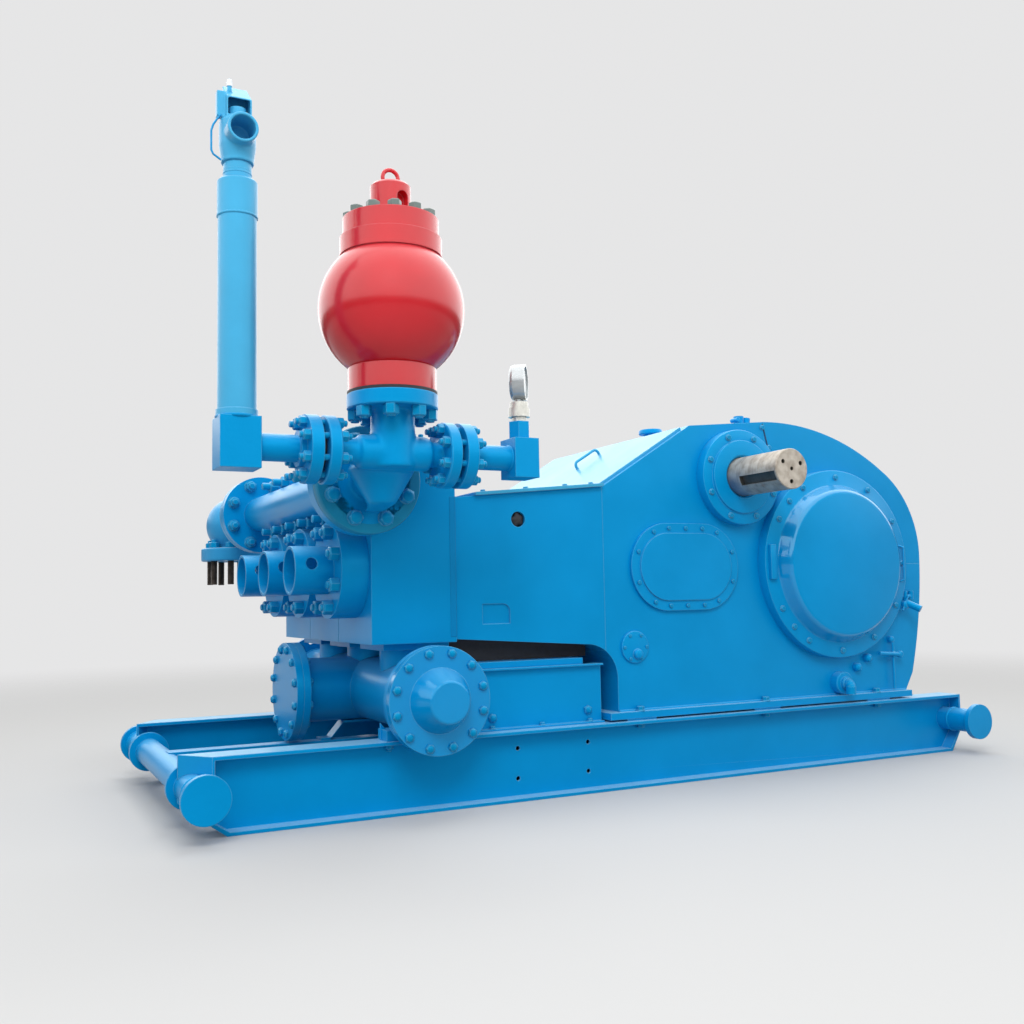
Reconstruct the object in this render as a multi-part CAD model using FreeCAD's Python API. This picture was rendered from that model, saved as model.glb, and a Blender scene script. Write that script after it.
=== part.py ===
import FreeCAD
import Part
import math
import os

V = FreeCAD.Vector

# Triplex piston pump on a skid. X runs from the fluid end (-) to the power end (+),
# Y away from the shown side, Z up. The origin is under the middle of the skid.

# Skid
beam_depth = 280.0
beam_flange_width = 130.0
beam_flange = 14.0
beam_web = 10.0
skid_half_length = 1920.0
skid_margin = 60.0
runner_rise_front = 150.0
runner_rise_rear = 70.0
runner_kick = 110.0
end_plate = 10.0
corner_cut = 98.0
web_hole = 18.0
web_hole_pitch_x = 333.0
web_hole_pitch_z = 121.0
web_hole_centre_x = -424.0
web_hole_centre_z = 143.0
end_pipe = 114.0
end_pipe_inset = 49.0
end_pipe_height = 159.0
end_cap = 170.0
end_cap_thickness = 25.0
end_cap_reach = 157.0
cross_member_width = 140.0
cross_member_plate = 12.0
cross_member_x = (-680.0, 0.0)
rear_member_inset = 440.0
rail_width = 75.0
rail_low = 100.0
rail_top = 220.0
rail_plate = 8.0
saddle_bar = 10.0
saddle_bar_rise_run = 60.0
saddle_foot = 40.0
saddle_block_length = 330.0
saddle_block_width = 100.0
saddle_block_height = 40.0

# Power end
side_half_width = 620.0
case_top_front = 1290.0
case_front_x = -157.0
slope_top_x = 321.0
slope_top_z = 1586.0
seam_x = 757.0
seam_z = 1628.0
crown_x = 1198.0
crown_z = 1571.0
shoulder_x = 1511.0
shoulder_z = 1420.0
back_upper_x = 1690.0
back_upper_z = 1230.0
back_x = 1748.0
back_z = 985.0
back_lower_x = 1725.0
back_lower_z = 700.0
heel_x = 1660.0
heel_z = 401.0
heel_foot_x = 1610.0
base_thickness = 30.0
base_margin = 35.0
base_front_x = -161.0
base_rear_x = 1612.0
shim_height = 8.0
shim_length = 150.0
shim_width = 70.0
hold_down_x = (0.0, 692.0, 1389.0)
hold_down_size = 30.0
hold_down_height = 18.0
case_bore_clearance = 5.0
seam_level = 951.0
cover_plate = 12.0
slope_cover_margin = 30.0
lifting_bar = 14.0
lifting_bar_rise = 34.0
lifting_bar_span = 150.0
lifting_bar_y = -40.0

# Crosshead housing
housing_front_x = -860.0
housing_top_front = 1226.0
housing_under_front = 655.0
housing_under_rear = 612.0
arch_start_x = -250.0
arch_radius = 150.0
side_hole = 64.0
side_hole_depth = 120.0
side_hole_x = -569.0
side_hole_z = 1141.0
recess_x = -676.0
recess_z = 752.0
recess_length = 125.0
recess_height = 81.0
recess_depth = 8.0
top_cover_thickness = 14.0
top_cover_overhang = 22.0

# Spray tank on the skid under the crosshead housing
tank_front_x = -800.0
tank_rear_x = -175.0
tank_inset = 20.0
tank_top = 530.0
tank_wall = 8.0
tank_lip = 25.0
tank_lid_height = 26.0
tank_lid_rear_x = -262.0

# Shaft and side covers
shaft_diameter = 178.0
shaft_x = 574.0
shaft_z = 1352.0
shaft_reach = 1005.0
shaft_chamfer = 4.0
shaft_clearance = 0.05
journal_diameter = 180.0
journal_step = 2.0
keyway_width = 44.0
keyway_depth = 17.0
keyway_length = 235.0
keyway_inset = 12.0
keyway_turn = 52.0
shaft_centre_hole = 18.0
shaft_tapped_hole = 18.0
shaft_tapped_pcd = 118.0
shaft_tapped_depth = 30.0
pinion_flange = 442.0
pinion_flange_thickness = 22.0
pinion_ring = 340.0
pinion_ring_height = 20.0
crank_x = 1144.0
crank_z = 951.0
crank_flange = 908.0
crank_flange_thickness = 26.0
crank_drum = 716.0
crank_drum_front = 690.0
crank_drum_reach = 111.0
oval_x = 268.0
oval_z = 940.0
oval_length = 585.0
oval_height = 390.0
oval_thickness = 16.0
oval_rim = 45.0
oval_rim_height = 8.0
round_cover = 154.0
round_cover_x = -8.0
round_cover_z = 600.0
round_cover_thickness = 14.0
drain_x = 1168.0
drain_z = 376.0
drain_pipe = 60.0
drain_reach = 95.0
plug_size = 34.0
plug_places = ((1357.0, 487.0), (1286.0, 437.0))
cock_x = 1640.0
cock_z = 757.0
cock_barrel = 46.0
cock_length = 92.0
dip_x = 1612.0
dip_low = 870.0
dip_high = 1044.0
tee_x = 1490.0
tee_z = 505.0
tee_bar = 22.0
tee_length = 150.0
tee_width = 96.0
breather_x = 440.0
breather_y = -120.0
breather_diameter = 92.0
breather_height = 60.0
lug_x = 735.0
lug_y = -480.0
lug_length = 86.0
lug_height = 62.0
pad_x = 1010.0
pad_y = -560.0
pad_size = 76.0

# Fluid end
module_pitch = 423.0
module_y = (-module_pitch, 0.0, module_pitch)
module_gap = 4.0
module_front_x = -1216.0
module_upper_front_x = -1190.0
module_step_z = 1140.0
module_bottom = 645.0
module_top = 1410.0
tube_z = 939.0
tube_outer = 192.0
tube_wall = 11.0
tube_end_x = -1481.0
tube_hole = 46.0
tube_hole_x = -1416.0
tube_hole_rise = 24.0
head_flange = 385.0
head_flange_front_x = -1328.0
valve_cover = 300.0
valve_cover_x = -1055.0
valve_cover_height = 92.0
valve_cover_step = 0.55
valve_cover_boss = 0.66

# Suction manifold
suction_x = -1005.0
suction_z = 435.0
suction_pipe = 273.0
suction_wall = 12.0
suction_flange = 412.0
suction_flange_thickness = 30.0
suction_face_y = 803.0
suction_pcd = 362.0
suction_bolt_hole = 26.0
suction_bolts = 12
suction_front_face_x = -1390.0
dome_base = 248.0
dome_flat = 156.0
dome_reach = 97.0
suction_neck = 200.0
neck_flange = 280.0
neck_flange_thickness = 28.0
weld_clearance = 0.6

# Discharge manifold and far elbow
manifold_x = -1286.0
manifold_z = 1261.0
manifold_pipe = 176.0
manifold_bore = 130.0
manifold_face_y = 770.0
manifold_far_face_y = 894.0
manifold_flange = 385.0
manifold_flange_thickness = 48.0
near_flange = 405.0
near_flange_thickness = 62.0
gasket = 5.0
saddle_length = 250.0
saddle_height = 236.0
saddle_thickness = 36.0
saddle_neck = 150.0
elbow_y = 1460.0
elbow_radius = 130.0
elbow_barrel = 196.0
elbow_bulb = 316.0
elbow_bulb_drop = 16.0
elbow_flange_top = 1118.0
elbow_flange = 370.0
elbow_flange_thickness = 72.0
elbow_pcd = 277.0
stud_diameter = 32.0
stud_reach = 118.0
stud_count = 8

# Discharge cross, branches, relief stand and gauge
riser_y = -1072.0
riser_pipe = 150.0
riser_body = 156.0
riser_body_low = 1272.0
riser_boss_reach = 130.0
riser_bend = 210.0
belly_y = -950.0
belly_low = 1138.0
belly_high = 1280.0
belly_tip = 76.0
belly_width = 244.0
belly_shoulder = 70.0
cross_flange_thickness = 50.0
branch_z = 1326.0
branch_pipe = 92.0
branch_boss = 122.0
branch_hub = 20.0
branch_flange = 234.0
branch_flange_thickness = 42.0
branch_ring = 140.0
branch_gap = 21.0
left_pair = 267.0
right_pair = 227.0
left_block = 133.0
left_block_depth = 124.0
left_block_height = 169.0
left_block_offset = 538.0
right_block = 98.0
right_block_depth = 120.0
right_block_height = 146.0
right_block_offset = 497.0
left_block_rise = 8.0
stand_pipe = 126.0
stand_top = 2088.0
weld_collar = 136.0
weld_collar_height = 24.0
coupling = 131.0
coupling_height = 122.0
coupling_chamfer = 6.0
relief_neck = 92.0
relief_neck_height = 58.0
relief_skirt = 107.0
relief_skirt_height = 12.0
relief_flare = 48.0
relief_body = 120.0
relief_body_height = 157.0
relief_shoulder = 18.0
relief_outlet_rise = 94.0
relief_outlet = 101.0
relief_outlet_bore = 80.0
relief_outlet_reach = 92.0
relief_box_width = 84.0
relief_box_front = 30.0
relief_box_back = 45.0
relief_box_height = 61.0
relief_box_slope = 66.0
relief_box_wall = 6.0
relief_trip = 56.0
relief_trip_height = 34.0
relief_stub = 16.0
relief_stub_height = 38.0
relief_stub_offset = 27.0
latch_reach = 70.0
latch_width = 30.0
latch_height = 88.0
gauge_hex = 72.0
gauge_hex_top = 1464.0
gauge_nut = 80.0
gauge_nut_low = 1482.0
gauge_nut_top = 1515.0
gauge_collar = 69.0
gauge_collar_top = 1537.0
gauge_thread = 56.0
gauge_neck = 34.0
gauge_back_round = 16.0
gauge_diameter = 134.0
gauge_thickness = 58.0
gauge_z = 1612.0
gauge_turn = -35.0
gauge_recess = 6.0
gauge_rim = 7.0

# Pulsation dampener
dampener_low = 1476.0
dampener_flange = 318.0
dampener_flange_height = 54.0
dampener_neck = 308.0
dampener_neck_top = 1620.0
dampener_throat = 278.0
dampener_sphere = 512.0
dampener_sphere_z = 1830.0
collar_diameter = 360.0
collar_throat = 320.0
collar_low = 2019.0
collar_top = 2084.0
cap_diameter = 339.0
cap_top = 2153.0
hub_diameter = 144.0
hub_top = 2285.0
hub_chamfer = 18.0
hub_window_width = 48.0
hub_window_height = 54.0
hub_window_low = 2193.0
hub_window_turn = -72.0
eye_height = 64.0
eye_bar = 15.0

# Sizes that follow from the values above
far = 4000.0
skid_half_width = side_half_width + skid_margin
base_half_width = side_half_width + base_margin
tank_half_width = side_half_width - tank_inset
beam_y = skid_half_width - beam_flange_width / 2
end_pipe_x = skid_half_length - end_pipe_inset
base_top = beam_depth + shim_height + base_thickness
riser_x = manifold_x
module_width = module_pitch - module_gap
module_rear_x = housing_front_x
left_block_x = riser_x - left_block_offset
right_block_x = riser_x + right_block_offset
coupling_top = stand_top + coupling_height
relief_neck_top = coupling_top + relief_neck_height
relief_top = relief_neck_top + relief_body_height
relief_outlet_z = relief_neck_top + relief_outlet_rise


def cyl(x, y, z, diameter, length, axis):
    """Cylinder from a start point along an axis; a negative length runs backwards."""
    direction = {"x": V(1, 0, 0), "y": V(0, 1, 0), "z": V(0, 0, 1)}[axis]
    if length < 0:
        direction = direction * -1
    return Part.makeCylinder(diameter / 2, abs(length), V(x, y, z), direction)


def cone(x, y, z, start, end, length, axis):
    """Cone frustum given by its two diameters; a negative length runs backwards."""
    direction = {"x": V(1, 0, 0), "y": V(0, 1, 0), "z": V(0, 0, 1)}[axis]
    if length < 0:
        direction = direction * -1
    return Part.makeCone(start / 2, end / 2, abs(length), V(x, y, z), direction)


def block(x0, x1, y0, y1, z0, z1):
    return Part.makeBox(x1 - x0, y1 - y0, z1 - z0, V(x0, y0, z0))


def fuse(shapes):
    """One solid from overlapping or touching shapes, with the seams cleaned."""
    result = shapes[0]
    if len(shapes) > 1:
        result = shapes[0].multiFuse(shapes[1:])
    return result.removeSplitter()


def extrude_y(edges, y0, y1):
    """Solid from a closed outline drawn in the XZ plane."""
    face = Part.Face(Part.Wire(edges))
    face.translate(V(0, y0, 0))
    return face.extrude(V(0, y1 - y0, 0))


def polygon(points):
    """Edges of a closed outline in the XZ plane from its corner points."""
    corners = [V(x, 0, z) for x, z in points]
    return [Part.LineSegment(a, b).toShape() for a, b in zip(corners, corners[1:] + corners[:1])]


def ring_positions(count, pcd, offset_degrees):
    """Offsets of bolts spaced evenly on a pitch circle."""
    for index in range(count):
        angle = math.radians(offset_degrees + 360.0 * index / count)
        yield pcd / 2 * math.cos(angle), pcd / 2 * math.sin(angle)


def mirrored_y(shape):
    return shape.mirror(V(0, 0, 0), V(0, 1, 0))


# Outer form of a skid beam: runner ends in the side view and, in the plan view, a front end cut
# back from the inner edge to the outer one. The inset moves the ends inwards.
def beam_form(side, low, high, inset):
    length = skid_half_length - inset
    outline = [
        (-length + runner_rise_front, low),
        (length - runner_rise_rear, low),
        (length, runner_kick),
        (length, high),
        (-length, high),
        (-length, runner_kick),
    ]
    half = beam_flange_width / 2
    form = extrude_y(polygon(outline), side * beam_y - half, side * beam_y + half)
    inner = side * (beam_y - half)
    outer = side * (beam_y + half)
    corner = Part.makePolygon([
        V(-length, inner, -1),
        V(-length, outer, -1),
        V(-length + corner_cut, outer, -1),
        V(-length, inner, -1),
    ])
    return form.cut(Part.Face(corner).extrude(V(0, 0, beam_depth + 2)))


# Skid beams: rolled I section with a closing plate at each end.
def skid_beam(side):
    beam = beam_form(side, 0, beam_depth, 0)
    pocket = beam_form(side, beam_flange, beam_depth - beam_flange, end_plate)
    web = block(-far, far, side * beam_y - beam_web / 2, side * beam_y + beam_web / 2, 0, beam_depth)
    beam = beam.cut(pocket.cut(web))
    for x in (-1, 1):
        for z in (-1, 1):
            hole = cyl(web_hole_centre_x + x * web_hole_pitch_x / 2, side * beam_y - beam_web,
                       web_hole_centre_z + z * web_hole_pitch_z / 2, web_hole, 2 * beam_web, "y")
            beam = beam.cut(hole)
    for x in (-end_pipe_x, end_pipe_x):
        beam = beam.cut(cyl(x, side * beam_y - beam_flange_width, end_pipe_height, end_pipe,
                            2 * beam_flange_width, "y"))
    return beam


# Pipe through both webs near an end of the skid, with cap discs outside and guide discs inside.
def skid_end_pipe(x):
    reach = skid_half_width + end_cap_reach
    parts = [cyl(x, -reach, end_pipe_height, end_pipe, 2 * reach, "y")]
    guide_y = beam_y - beam_flange_width / 2 - end_cap_thickness
    for side in (-1, 1):
        parts.append(cyl(x, side * reach, end_pipe_height, end_cap, -side * end_cap_thickness, "y"))
        parts.append(cyl(x, side * guide_y, end_pipe_height, end_cap, -side * end_cap_thickness, "y"))
    return fuse(parts)


# Welded cross member: an I of plates between the beams, its bottom plate level with their undersides.
def cross_member(x):
    web_reach = beam_y - beam_web / 2
    flange_reach = beam_y - beam_flange_width / 2
    top = beam_depth - beam_flange
    edge = cross_member_width / 2
    half_plate = cross_member_plate / 2
    plates = [
        block(x - edge, x + edge, -flange_reach, flange_reach, 0, cross_member_plate),
        block(x - edge, x + edge, -web_reach, web_reach, top - cross_member_plate, top),
        block(x - half_plate, x + half_plate, -flange_reach, flange_reach, 0, top),
        block(x - half_plate, x + half_plate, -web_reach, web_reach, beam_flange, top),
    ]
    return fuse(plates)


# Channel along the middle of the skid, coped onto the front end pipe and ending on a cross member.
def centre_rail():
    rear = cross_member_x[0] - cross_member_plate / 2
    half = rail_width / 2
    rail = block(-end_pipe_x, rear, -half, half, rail_low, rail_top)
    hollow = block(-end_pipe_x, rear, -half + rail_plate, half, rail_low + rail_plate, rail_top - rail_plate)
    coped = rail.cut(hollow)
    return coped.cut(cyl(-end_pipe_x, -half, end_pipe_height, end_pipe, rail_width, "y"))


# Bent flat bar on the centre rail that carries the suction pipe, and a saddle block on each beam.
def suction_saddles():
    top = suction_z - suction_pipe / 2
    run = saddle_bar_rise_run
    half = suction_pipe / 2
    x0, x1 = suction_x - half, suction_x + half
    t = saddle_bar
    outline = [
        (x0 - run - saddle_foot, rail_top), (x0 - run, rail_top), (x0, top - t), (x1, top - t),
        (x1 + run, rail_top), (x1 + run + saddle_foot, rail_top), (x1 + run + saddle_foot, rail_top + t),
        (x1 + run - t / 2, rail_top + t), (x1 - t / 2, top), (x0 + t / 2, top),
        (x0 - run + t / 2, rail_top + t), (x0 - run - saddle_foot, rail_top + t),
    ]
    solids = [extrude_y(polygon(outline), -rail_width / 2, rail_width / 2)]
    pipe = cyl(suction_x, -far, suction_z, suction_pipe, 2 * far, "y")
    for side in (-1, 1):
        low_y = side * beam_y - saddle_block_width / 2
        seat = block(suction_x - saddle_block_length / 2, suction_x + saddle_block_length / 2, low_y,
                     low_y + saddle_block_width, beam_depth, beam_depth + saddle_block_height)
        solids.append(seat.cut(pipe))
    return Part.makeCompound(solids)


# The whole side outline of the power end, from the crosshead housing to the rounded back.
def power_end_outline():
    floor = base_top
    p = {
        "front_low": V(housing_front_x, 0, housing_under_front),
        "front_top": V(housing_front_x, 0, housing_top_front),
        "slope_low": V(case_front_x, 0, case_top_front),
        "slope_top": V(slope_top_x, 0, slope_top_z),
        "seam": V(seam_x, 0, seam_z),
        "crown": V(crown_x, 0, crown_z),
        "shoulder": V(shoulder_x, 0, shoulder_z),
        "back_upper": V(back_upper_x, 0, back_upper_z),
        "back": V(back_x, 0, back_z),
        "back_lower": V(back_lower_x, 0, back_lower_z),
        "heel": V(heel_x, 0, heel_z),
        "heel_foot": V(heel_foot_x, 0, floor),
        "arch_foot": V(arch_start_x + arch_radius, 0, floor),
        "arch_low": V(arch_start_x + arch_radius, 0, housing_under_rear - arch_radius),
        "arch_high": V(arch_start_x, 0, housing_under_rear),
    }
    turn = math.sqrt(0.5) * arch_radius
    arch_mid = V(arch_start_x + turn, 0, housing_under_rear - arch_radius + turn)
    line = Part.LineSegment
    arc = Part.Arc
    return [
        line(p["front_low"], p["front_top"]).toShape(),
        line(p["front_top"], p["slope_low"]).toShape(),
        line(p["slope_low"], p["slope_top"]).toShape(),
        line(p["slope_top"], p["seam"]).toShape(),
        arc(p["seam"], p["crown"], p["shoulder"]).toShape(),
        arc(p["shoulder"], p["back_upper"], p["back"]).toShape(),
        arc(p["back"], p["back_lower"], p["heel"]).toShape(),
        line(p["heel"], p["heel_foot"]).toShape(),
        line(p["heel_foot"], p["arch_foot"]).toShape(),
        line(p["arch_foot"], p["arch_low"]).toShape(),
        arc(p["arch_low"], arch_mid, p["arch_high"]).toShape(),
        line(p["arch_high"], p["front_low"]).toShape(),
    ]


power_end = extrude_y(power_end_outline(), -side_half_width, side_half_width)
rear_zone = block(seam_x, far, -far, far, seam_level, far)


def shaft_bore(clearance):
    bore = journal_diameter + 2 * clearance
    return cyl(shaft_x, -far, shaft_z, bore, 2 * far, "y")


# Gear case: closed fabricated housing, bored right through for the pinion shaft.
def gear_case():
    case = power_end.common(block(case_front_x, far, -far, far, 0, far)).cut(rear_zone)
    return case.cut(shaft_bore(case_bore_clearance))


# Removable rear cover over the crankshaft.
def rear_cover():
    return power_end.common(rear_zone)


# Crosshead housing: closed box with a round access hole and a shallow pocket in each side.
def crosshead_housing():
    housing = power_end.common(block(-far, case_front_x, -far, far, 0, far))
    for side in (-1, 1):
        face = side * side_half_width
        housing = housing.cut(cyl(side_hole_x, face, side_hole_z, side_hole, -side * side_hole_depth, "y"))
        pocket = block(recess_x - recess_length / 2, recess_x + recess_length / 2,
                       min(face, face - side * recess_depth), max(face, face - side * recess_depth),
                       recess_z - recess_height / 2, recess_z + recess_height / 2)
        corners = [e for e in pocket.Edges
                   if abs(e.Vertexes[0].X - e.Vertexes[1].X) < 0.01
                   and abs(e.Vertexes[0].Z - e.Vertexes[1].Z) < 0.01
                   and e.Vertexes[0].X > recess_x and e.Vertexes[0].Z > recess_z]
        housing = housing.cut(pocket.makeFillet(recess_height * 0.4, corners))
    return housing


# Flat lid over the crosshead housing, a little wider than the housing.
def crosshead_cover():
    slope = (case_top_front - housing_top_front) / (case_front_x - housing_front_x)
    x0 = housing_front_x + 90
    x1 = case_front_x - 4
    z0 = housing_top_front + slope * (x0 - housing_front_x)
    z1 = housing_top_front + slope * (x1 - housing_front_x)
    outline = polygon([(x0, z0), (x1, z1), (x1, z1 + top_cover_thickness), (x0, z0 + top_cover_thickness)])
    reach = side_half_width + top_cover_overhang
    return extrude_y(outline, -reach, reach)


# Sloping cover plate between the crosshead lid and the top of the gear case, with its lifting bar.
def slope_cover():
    run = slope_top_x - case_front_x
    rise = slope_top_z - case_top_front
    length = math.hypot(run, rise)
    ux, uz = run / length, rise / length
    nx, nz = -uz, ux

    def at(along, up):
        return (case_front_x + ux * along + nx * up, case_top_front + uz * along + nz * up)

    reach = side_half_width - slope_cover_margin
    plate = extrude_y(polygon([at(6, 0), at(length - 30, 0), at(length - 30, cover_plate), at(6, cover_plate)]),
                      -reach, reach)
    normal = V(nx, 0, nz)
    along = V(ux, 0, uz)
    foot = V(*(at(length * 0.48, cover_plate)[0:1] + (lifting_bar_y,) + at(length * 0.48, cover_plate)[1:2]))
    foot = foot - normal * 2
    top = foot + normal * (lifting_bar_rise + 2)
    end = top + along * lifting_bar_span
    bend = lifting_bar * 1.5
    turn = bend * (1 - math.sqrt(0.5))
    path = Part.Wire([
        Part.LineSegment(foot, top - normal * bend).toShape(),
        Part.Arc(top - normal * bend, top - normal * turn + along * turn, top + along * bend).toShape(),
        Part.LineSegment(top + along * bend, end - along * bend).toShape(),
        Part.Arc(end - along * bend, end - normal * turn - along * turn, end - normal * bend).toShape(),
        Part.LineSegment(end - normal * bend, end - normal * (lifting_bar_rise + 2)).toShape(),
    ])
    section = Part.Wire(Part.Circle(foot, normal, lifting_bar / 2).toShape())
    bar = path.makePipeShell([section], True, True)
    return plate.multiFuse([bar])


# Base plate welded under the gear case, on shims over the skid beams.
def case_base():
    plate = block(base_front_x, base_rear_x, -base_half_width, base_half_width, base_top - base_thickness, base_top)
    parts = [plate]
    for x in hold_down_x:
        for side in (-1, 1):
            y = side * beam_y
            parts.append(block(x - shim_length / 2, x + shim_length / 2, y - shim_width / 2, y + shim_width / 2,
                               beam_depth, beam_depth + shim_height))
    return fuse(parts)


# Hold-down bolts through the base plate and the beam flange, with a nut under the flange.
def hold_down_bolts():
    solids = []
    for x in hold_down_x:
        for side in (-1, 1):
            y = side * (side_half_width + base_half_width) / 2
            head = prism(x, y, base_top, hold_down_size, hold_down_height, "z")
            nut = prism(x, y, beam_depth - beam_flange - hold_down_height, hold_down_size, hold_down_height, "z")
            solids += [head, nut]
    return Part.makeCompound(solids)


def prism(x, y, z, across, height, axis):
    """Hexagon prism given across its flats."""
    radius = across / math.sqrt(3.0)
    points = []
    for index in range(7):
        a = math.radians(60.0 * index)
        u, w = radius * math.cos(a), radius * math.sin(a)
        if axis == "z":
            points.append(V(x + u, y + w, z))
        elif axis == "y":
            points.append(V(x + u, y, z + w))
        else:
            points.append(V(x, y + u, z + w))
    direction = {"x": V(1, 0, 0), "y": V(0, 1, 0), "z": V(0, 0, 1)}[axis]
    return Part.Face(Part.makePolygon(points)).extrude(direction * height)


# Round cover of the crankshaft bearing: bolted flange and slightly tapered drum with a rounded rim.
def crank_cover():
    face = -side_half_width
    flange = cyl(crank_x, face, crank_z, crank_flange, -crank_flange_thickness, "y")
    drum = cone(crank_x, face, crank_z, crank_drum, crank_drum_front, -crank_drum_reach, "y")
    rim = [e for e in drum.Edges if e.BoundBox.YLength < 0.01 and e.BoundBox.YMin < face - crank_drum_reach + 1]
    return fuse([flange, drum.makeFillet(10.0, rim)])


# Pinion bearing cover: bolted flange with a raised ring, bored for the shaft.
def pinion_cover():
    face = -side_half_width
    flange = cyl(shaft_x, face, shaft_z, pinion_flange, -pinion_flange_thickness, "y")
    ring = cyl(shaft_x, face, shaft_z, pinion_ring, -(pinion_flange_thickness + pinion_ring_height), "y")
    return fuse([flange, ring]).cut(shaft_bore(shaft_clearance))


# Pinion shaft: the keyed end is a little thinner than the journal that runs through both covers.
def pinion_shaft():
    cover_face = side_half_width + pinion_flange_thickness + pinion_ring_height
    step_y = -cover_face - journal_step
    end = cyl(shaft_x, -shaft_reach, shaft_z, shaft_diameter, shaft_reach + step_y + 1, "y")
    journal = cyl(shaft_x, step_y, shaft_z, journal_diameter, cover_face - shaft_chamfer - step_y, "y")
    end_rim = [e for e in end.Edges if e.BoundBox.YMax < -shaft_reach + 1]
    journal_rim = [e for e in journal.Edges if e.BoundBox.YMin > 0 and e.BoundBox.YLength < 1]
    shaft = fuse([end.makeChamfer(shaft_chamfer, end_rim), journal.makeChamfer(shaft_chamfer, journal_rim)])
    key = block(shaft_x - keyway_width / 2, shaft_x + keyway_width / 2, -shaft_reach + keyway_inset,
                -shaft_reach + keyway_inset + keyway_length, shaft_z - shaft_diameter,
                shaft_z - shaft_diameter / 2 + keyway_depth)
    key.rotate(V(shaft_x, 0, shaft_z), V(0, 1, 0), keyway_turn)
    shaft = shaft.cut(key)
    shaft = shaft.cut(cone(shaft_x, -shaft_reach, shaft_z, shaft_centre_hole, shaft_centre_hole / 3,
                           shaft_centre_hole, "y"))
    for dx, dz in ring_positions(3, shaft_tapped_pcd, 90.0):
        shaft = shaft.cut(cyl(shaft_x + dx, -shaft_reach, shaft_z + dz, shaft_tapped_hole, shaft_tapped_depth, "y"))
    return shaft


def slot_plate(x, z, length, height, y0, thickness):
    """Plate with round ends, lying on a side face."""
    radius = height / 2
    half = length / 2 - radius
    line = Part.LineSegment
    arc = Part.Arc
    edges = [
        line(V(x - half, 0, z + radius), V(x + half, 0, z + radius)).toShape(),
        arc(V(x + half, 0, z + radius), V(x + half + radius, 0, z), V(x + half, 0, z - radius)).toShape(),
        line(V(x + half, 0, z - radius), V(x - half, 0, z - radius)).toShape(),
        arc(V(x - half, 0, z - radius), V(x - half - radius, 0, z), V(x - half, 0, z + radius)).toShape(),
    ]
    return extrude_y(edges, y0 - thickness, y0)


# Oval inspection cover: a flanged plate with a low raised panel inside its bolt margin.
def inspection_cover():
    face = -side_half_width
    plate = slot_plate(oval_x, oval_z, oval_length, oval_height, face, oval_thickness)
    panel = slot_plate(oval_x, oval_z, oval_length - 2 * oval_rim, oval_height - 2 * oval_rim, face,
                       oval_thickness + oval_rim_height)
    return fuse([plate, panel])


# Small round covers near the foot of the case, with a hexagon plug.
def round_covers():
    face = -side_half_width
    disc = cyl(round_cover_x, face, round_cover_z, round_cover, -round_cover_thickness, "y")
    plug = prism(round_cover_x, face - round_cover_thickness - 16.0, round_cover_z, 46.0, 16.0, "y")
    one = fuse([disc, plug])
    return Part.makeCompound([one, mirrored_y(one)])


# Oil fittings low on the back of the case: drain union, plugs, cock, dipstick tube and bar handle.
def oil_fittings():
    face = -side_half_width
    pipe = cyl(drain_x, face, drain_z, drain_pipe, -drain_reach, "y")
    union = prism(drain_x, face - drain_reach + 12.0, drain_z, 84.0, 34.0, "y")
    flange = cyl(drain_x, face, drain_z, 96.0, -16.0, "y")
    solids = [fuse([pipe, union, flange])]
    for x, z in plug_places:
        solids.append(prism(x, face - plug_size / 2, z, plug_size, plug_size / 2, "y"))
    stem = cyl(cock_x, face, cock_z, cock_barrel, -cock_barrel, "y")
    barrel = cyl(cock_x - cock_length / 2, face - cock_barrel, cock_z, cock_barrel * 0.8, cock_length, "x")
    lever = cyl(cock_x - cock_length / 4, face - cock_barrel, cock_z, cock_barrel * 0.4, cock_barrel * 1.3, "z")
    solids.append(fuse([stem, barrel, lever]))
    tube = cyl(dip_x, face - 14.0, dip_low, 16.0, dip_high - dip_low, "z")
    lugs = [cyl(dip_x, face, z, 12.0, -14.0, "y") for z in (dip_low + 8.0, dip_high - 8.0)]
    solids.append(fuse([tube] + lugs))
    post = cyl(tee_x, face, tee_z, tee_bar, -tee_bar * 1.5, "y")
    upright = cyl(tee_x, face - tee_bar * 1.5, tee_z - tee_length / 2, tee_bar, tee_length, "z")
    cross_bar = cyl(tee_x - tee_width / 2, face - tee_bar * 1.5, tee_z, tee_bar, tee_width, "x")
    solids.append(fuse([post, upright, cross_bar]))
    return Part.makeCompound(solids)


# Fluid end module: a forged block whose front is set back above the cylinder head.
def fluid_module(y):
    half = module_width / 2
    return extrude_y(polygon([
        (module_front_x, module_bottom), (module_rear_x, module_bottom), (module_rear_x, module_top),
        (module_upper_front_x, module_top), (module_upper_front_x, module_step_z), (module_front_x, module_step_z),
    ]), y - half, y + half)


# Cylinder head retainer: bolted flange and an open tube with a wrench hole through its sides.
def cylinder_head(y):
    flange = cyl(head_flange_front_x, y, tube_z, head_flange, module_front_x - head_flange_front_x, "x")
    tube = cyl(tube_end_x, y, tube_z, tube_outer, head_flange_front_x - tube_end_x + 1, "x")
    head = fuse([flange, tube])
    bore = tube_outer - 2 * tube_wall
    head = head.cut(cyl(tube_end_x - 1, y, tube_z, bore, head_flange_front_x - tube_end_x + 1, "x"))
    return head.cut(cyl(tube_hole_x, y - tube_outer, tube_z + tube_hole_rise, tube_hole, 2 * tube_outer, "y"))


# Round valve cover on the top of each module.
def valve_covers():
    solids = []
    for y in module_y:
        lower = cyl(valve_cover_x, y, module_top, valve_cover, valve_cover_height * valve_cover_step, "z")
        upper = cyl(valve_cover_x, y, module_top, valve_cover * valve_cover_boss, valve_cover_height, "z")
        solids.append(fuse([lower, upper]))
    return Part.makeCompound(solids)


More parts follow.
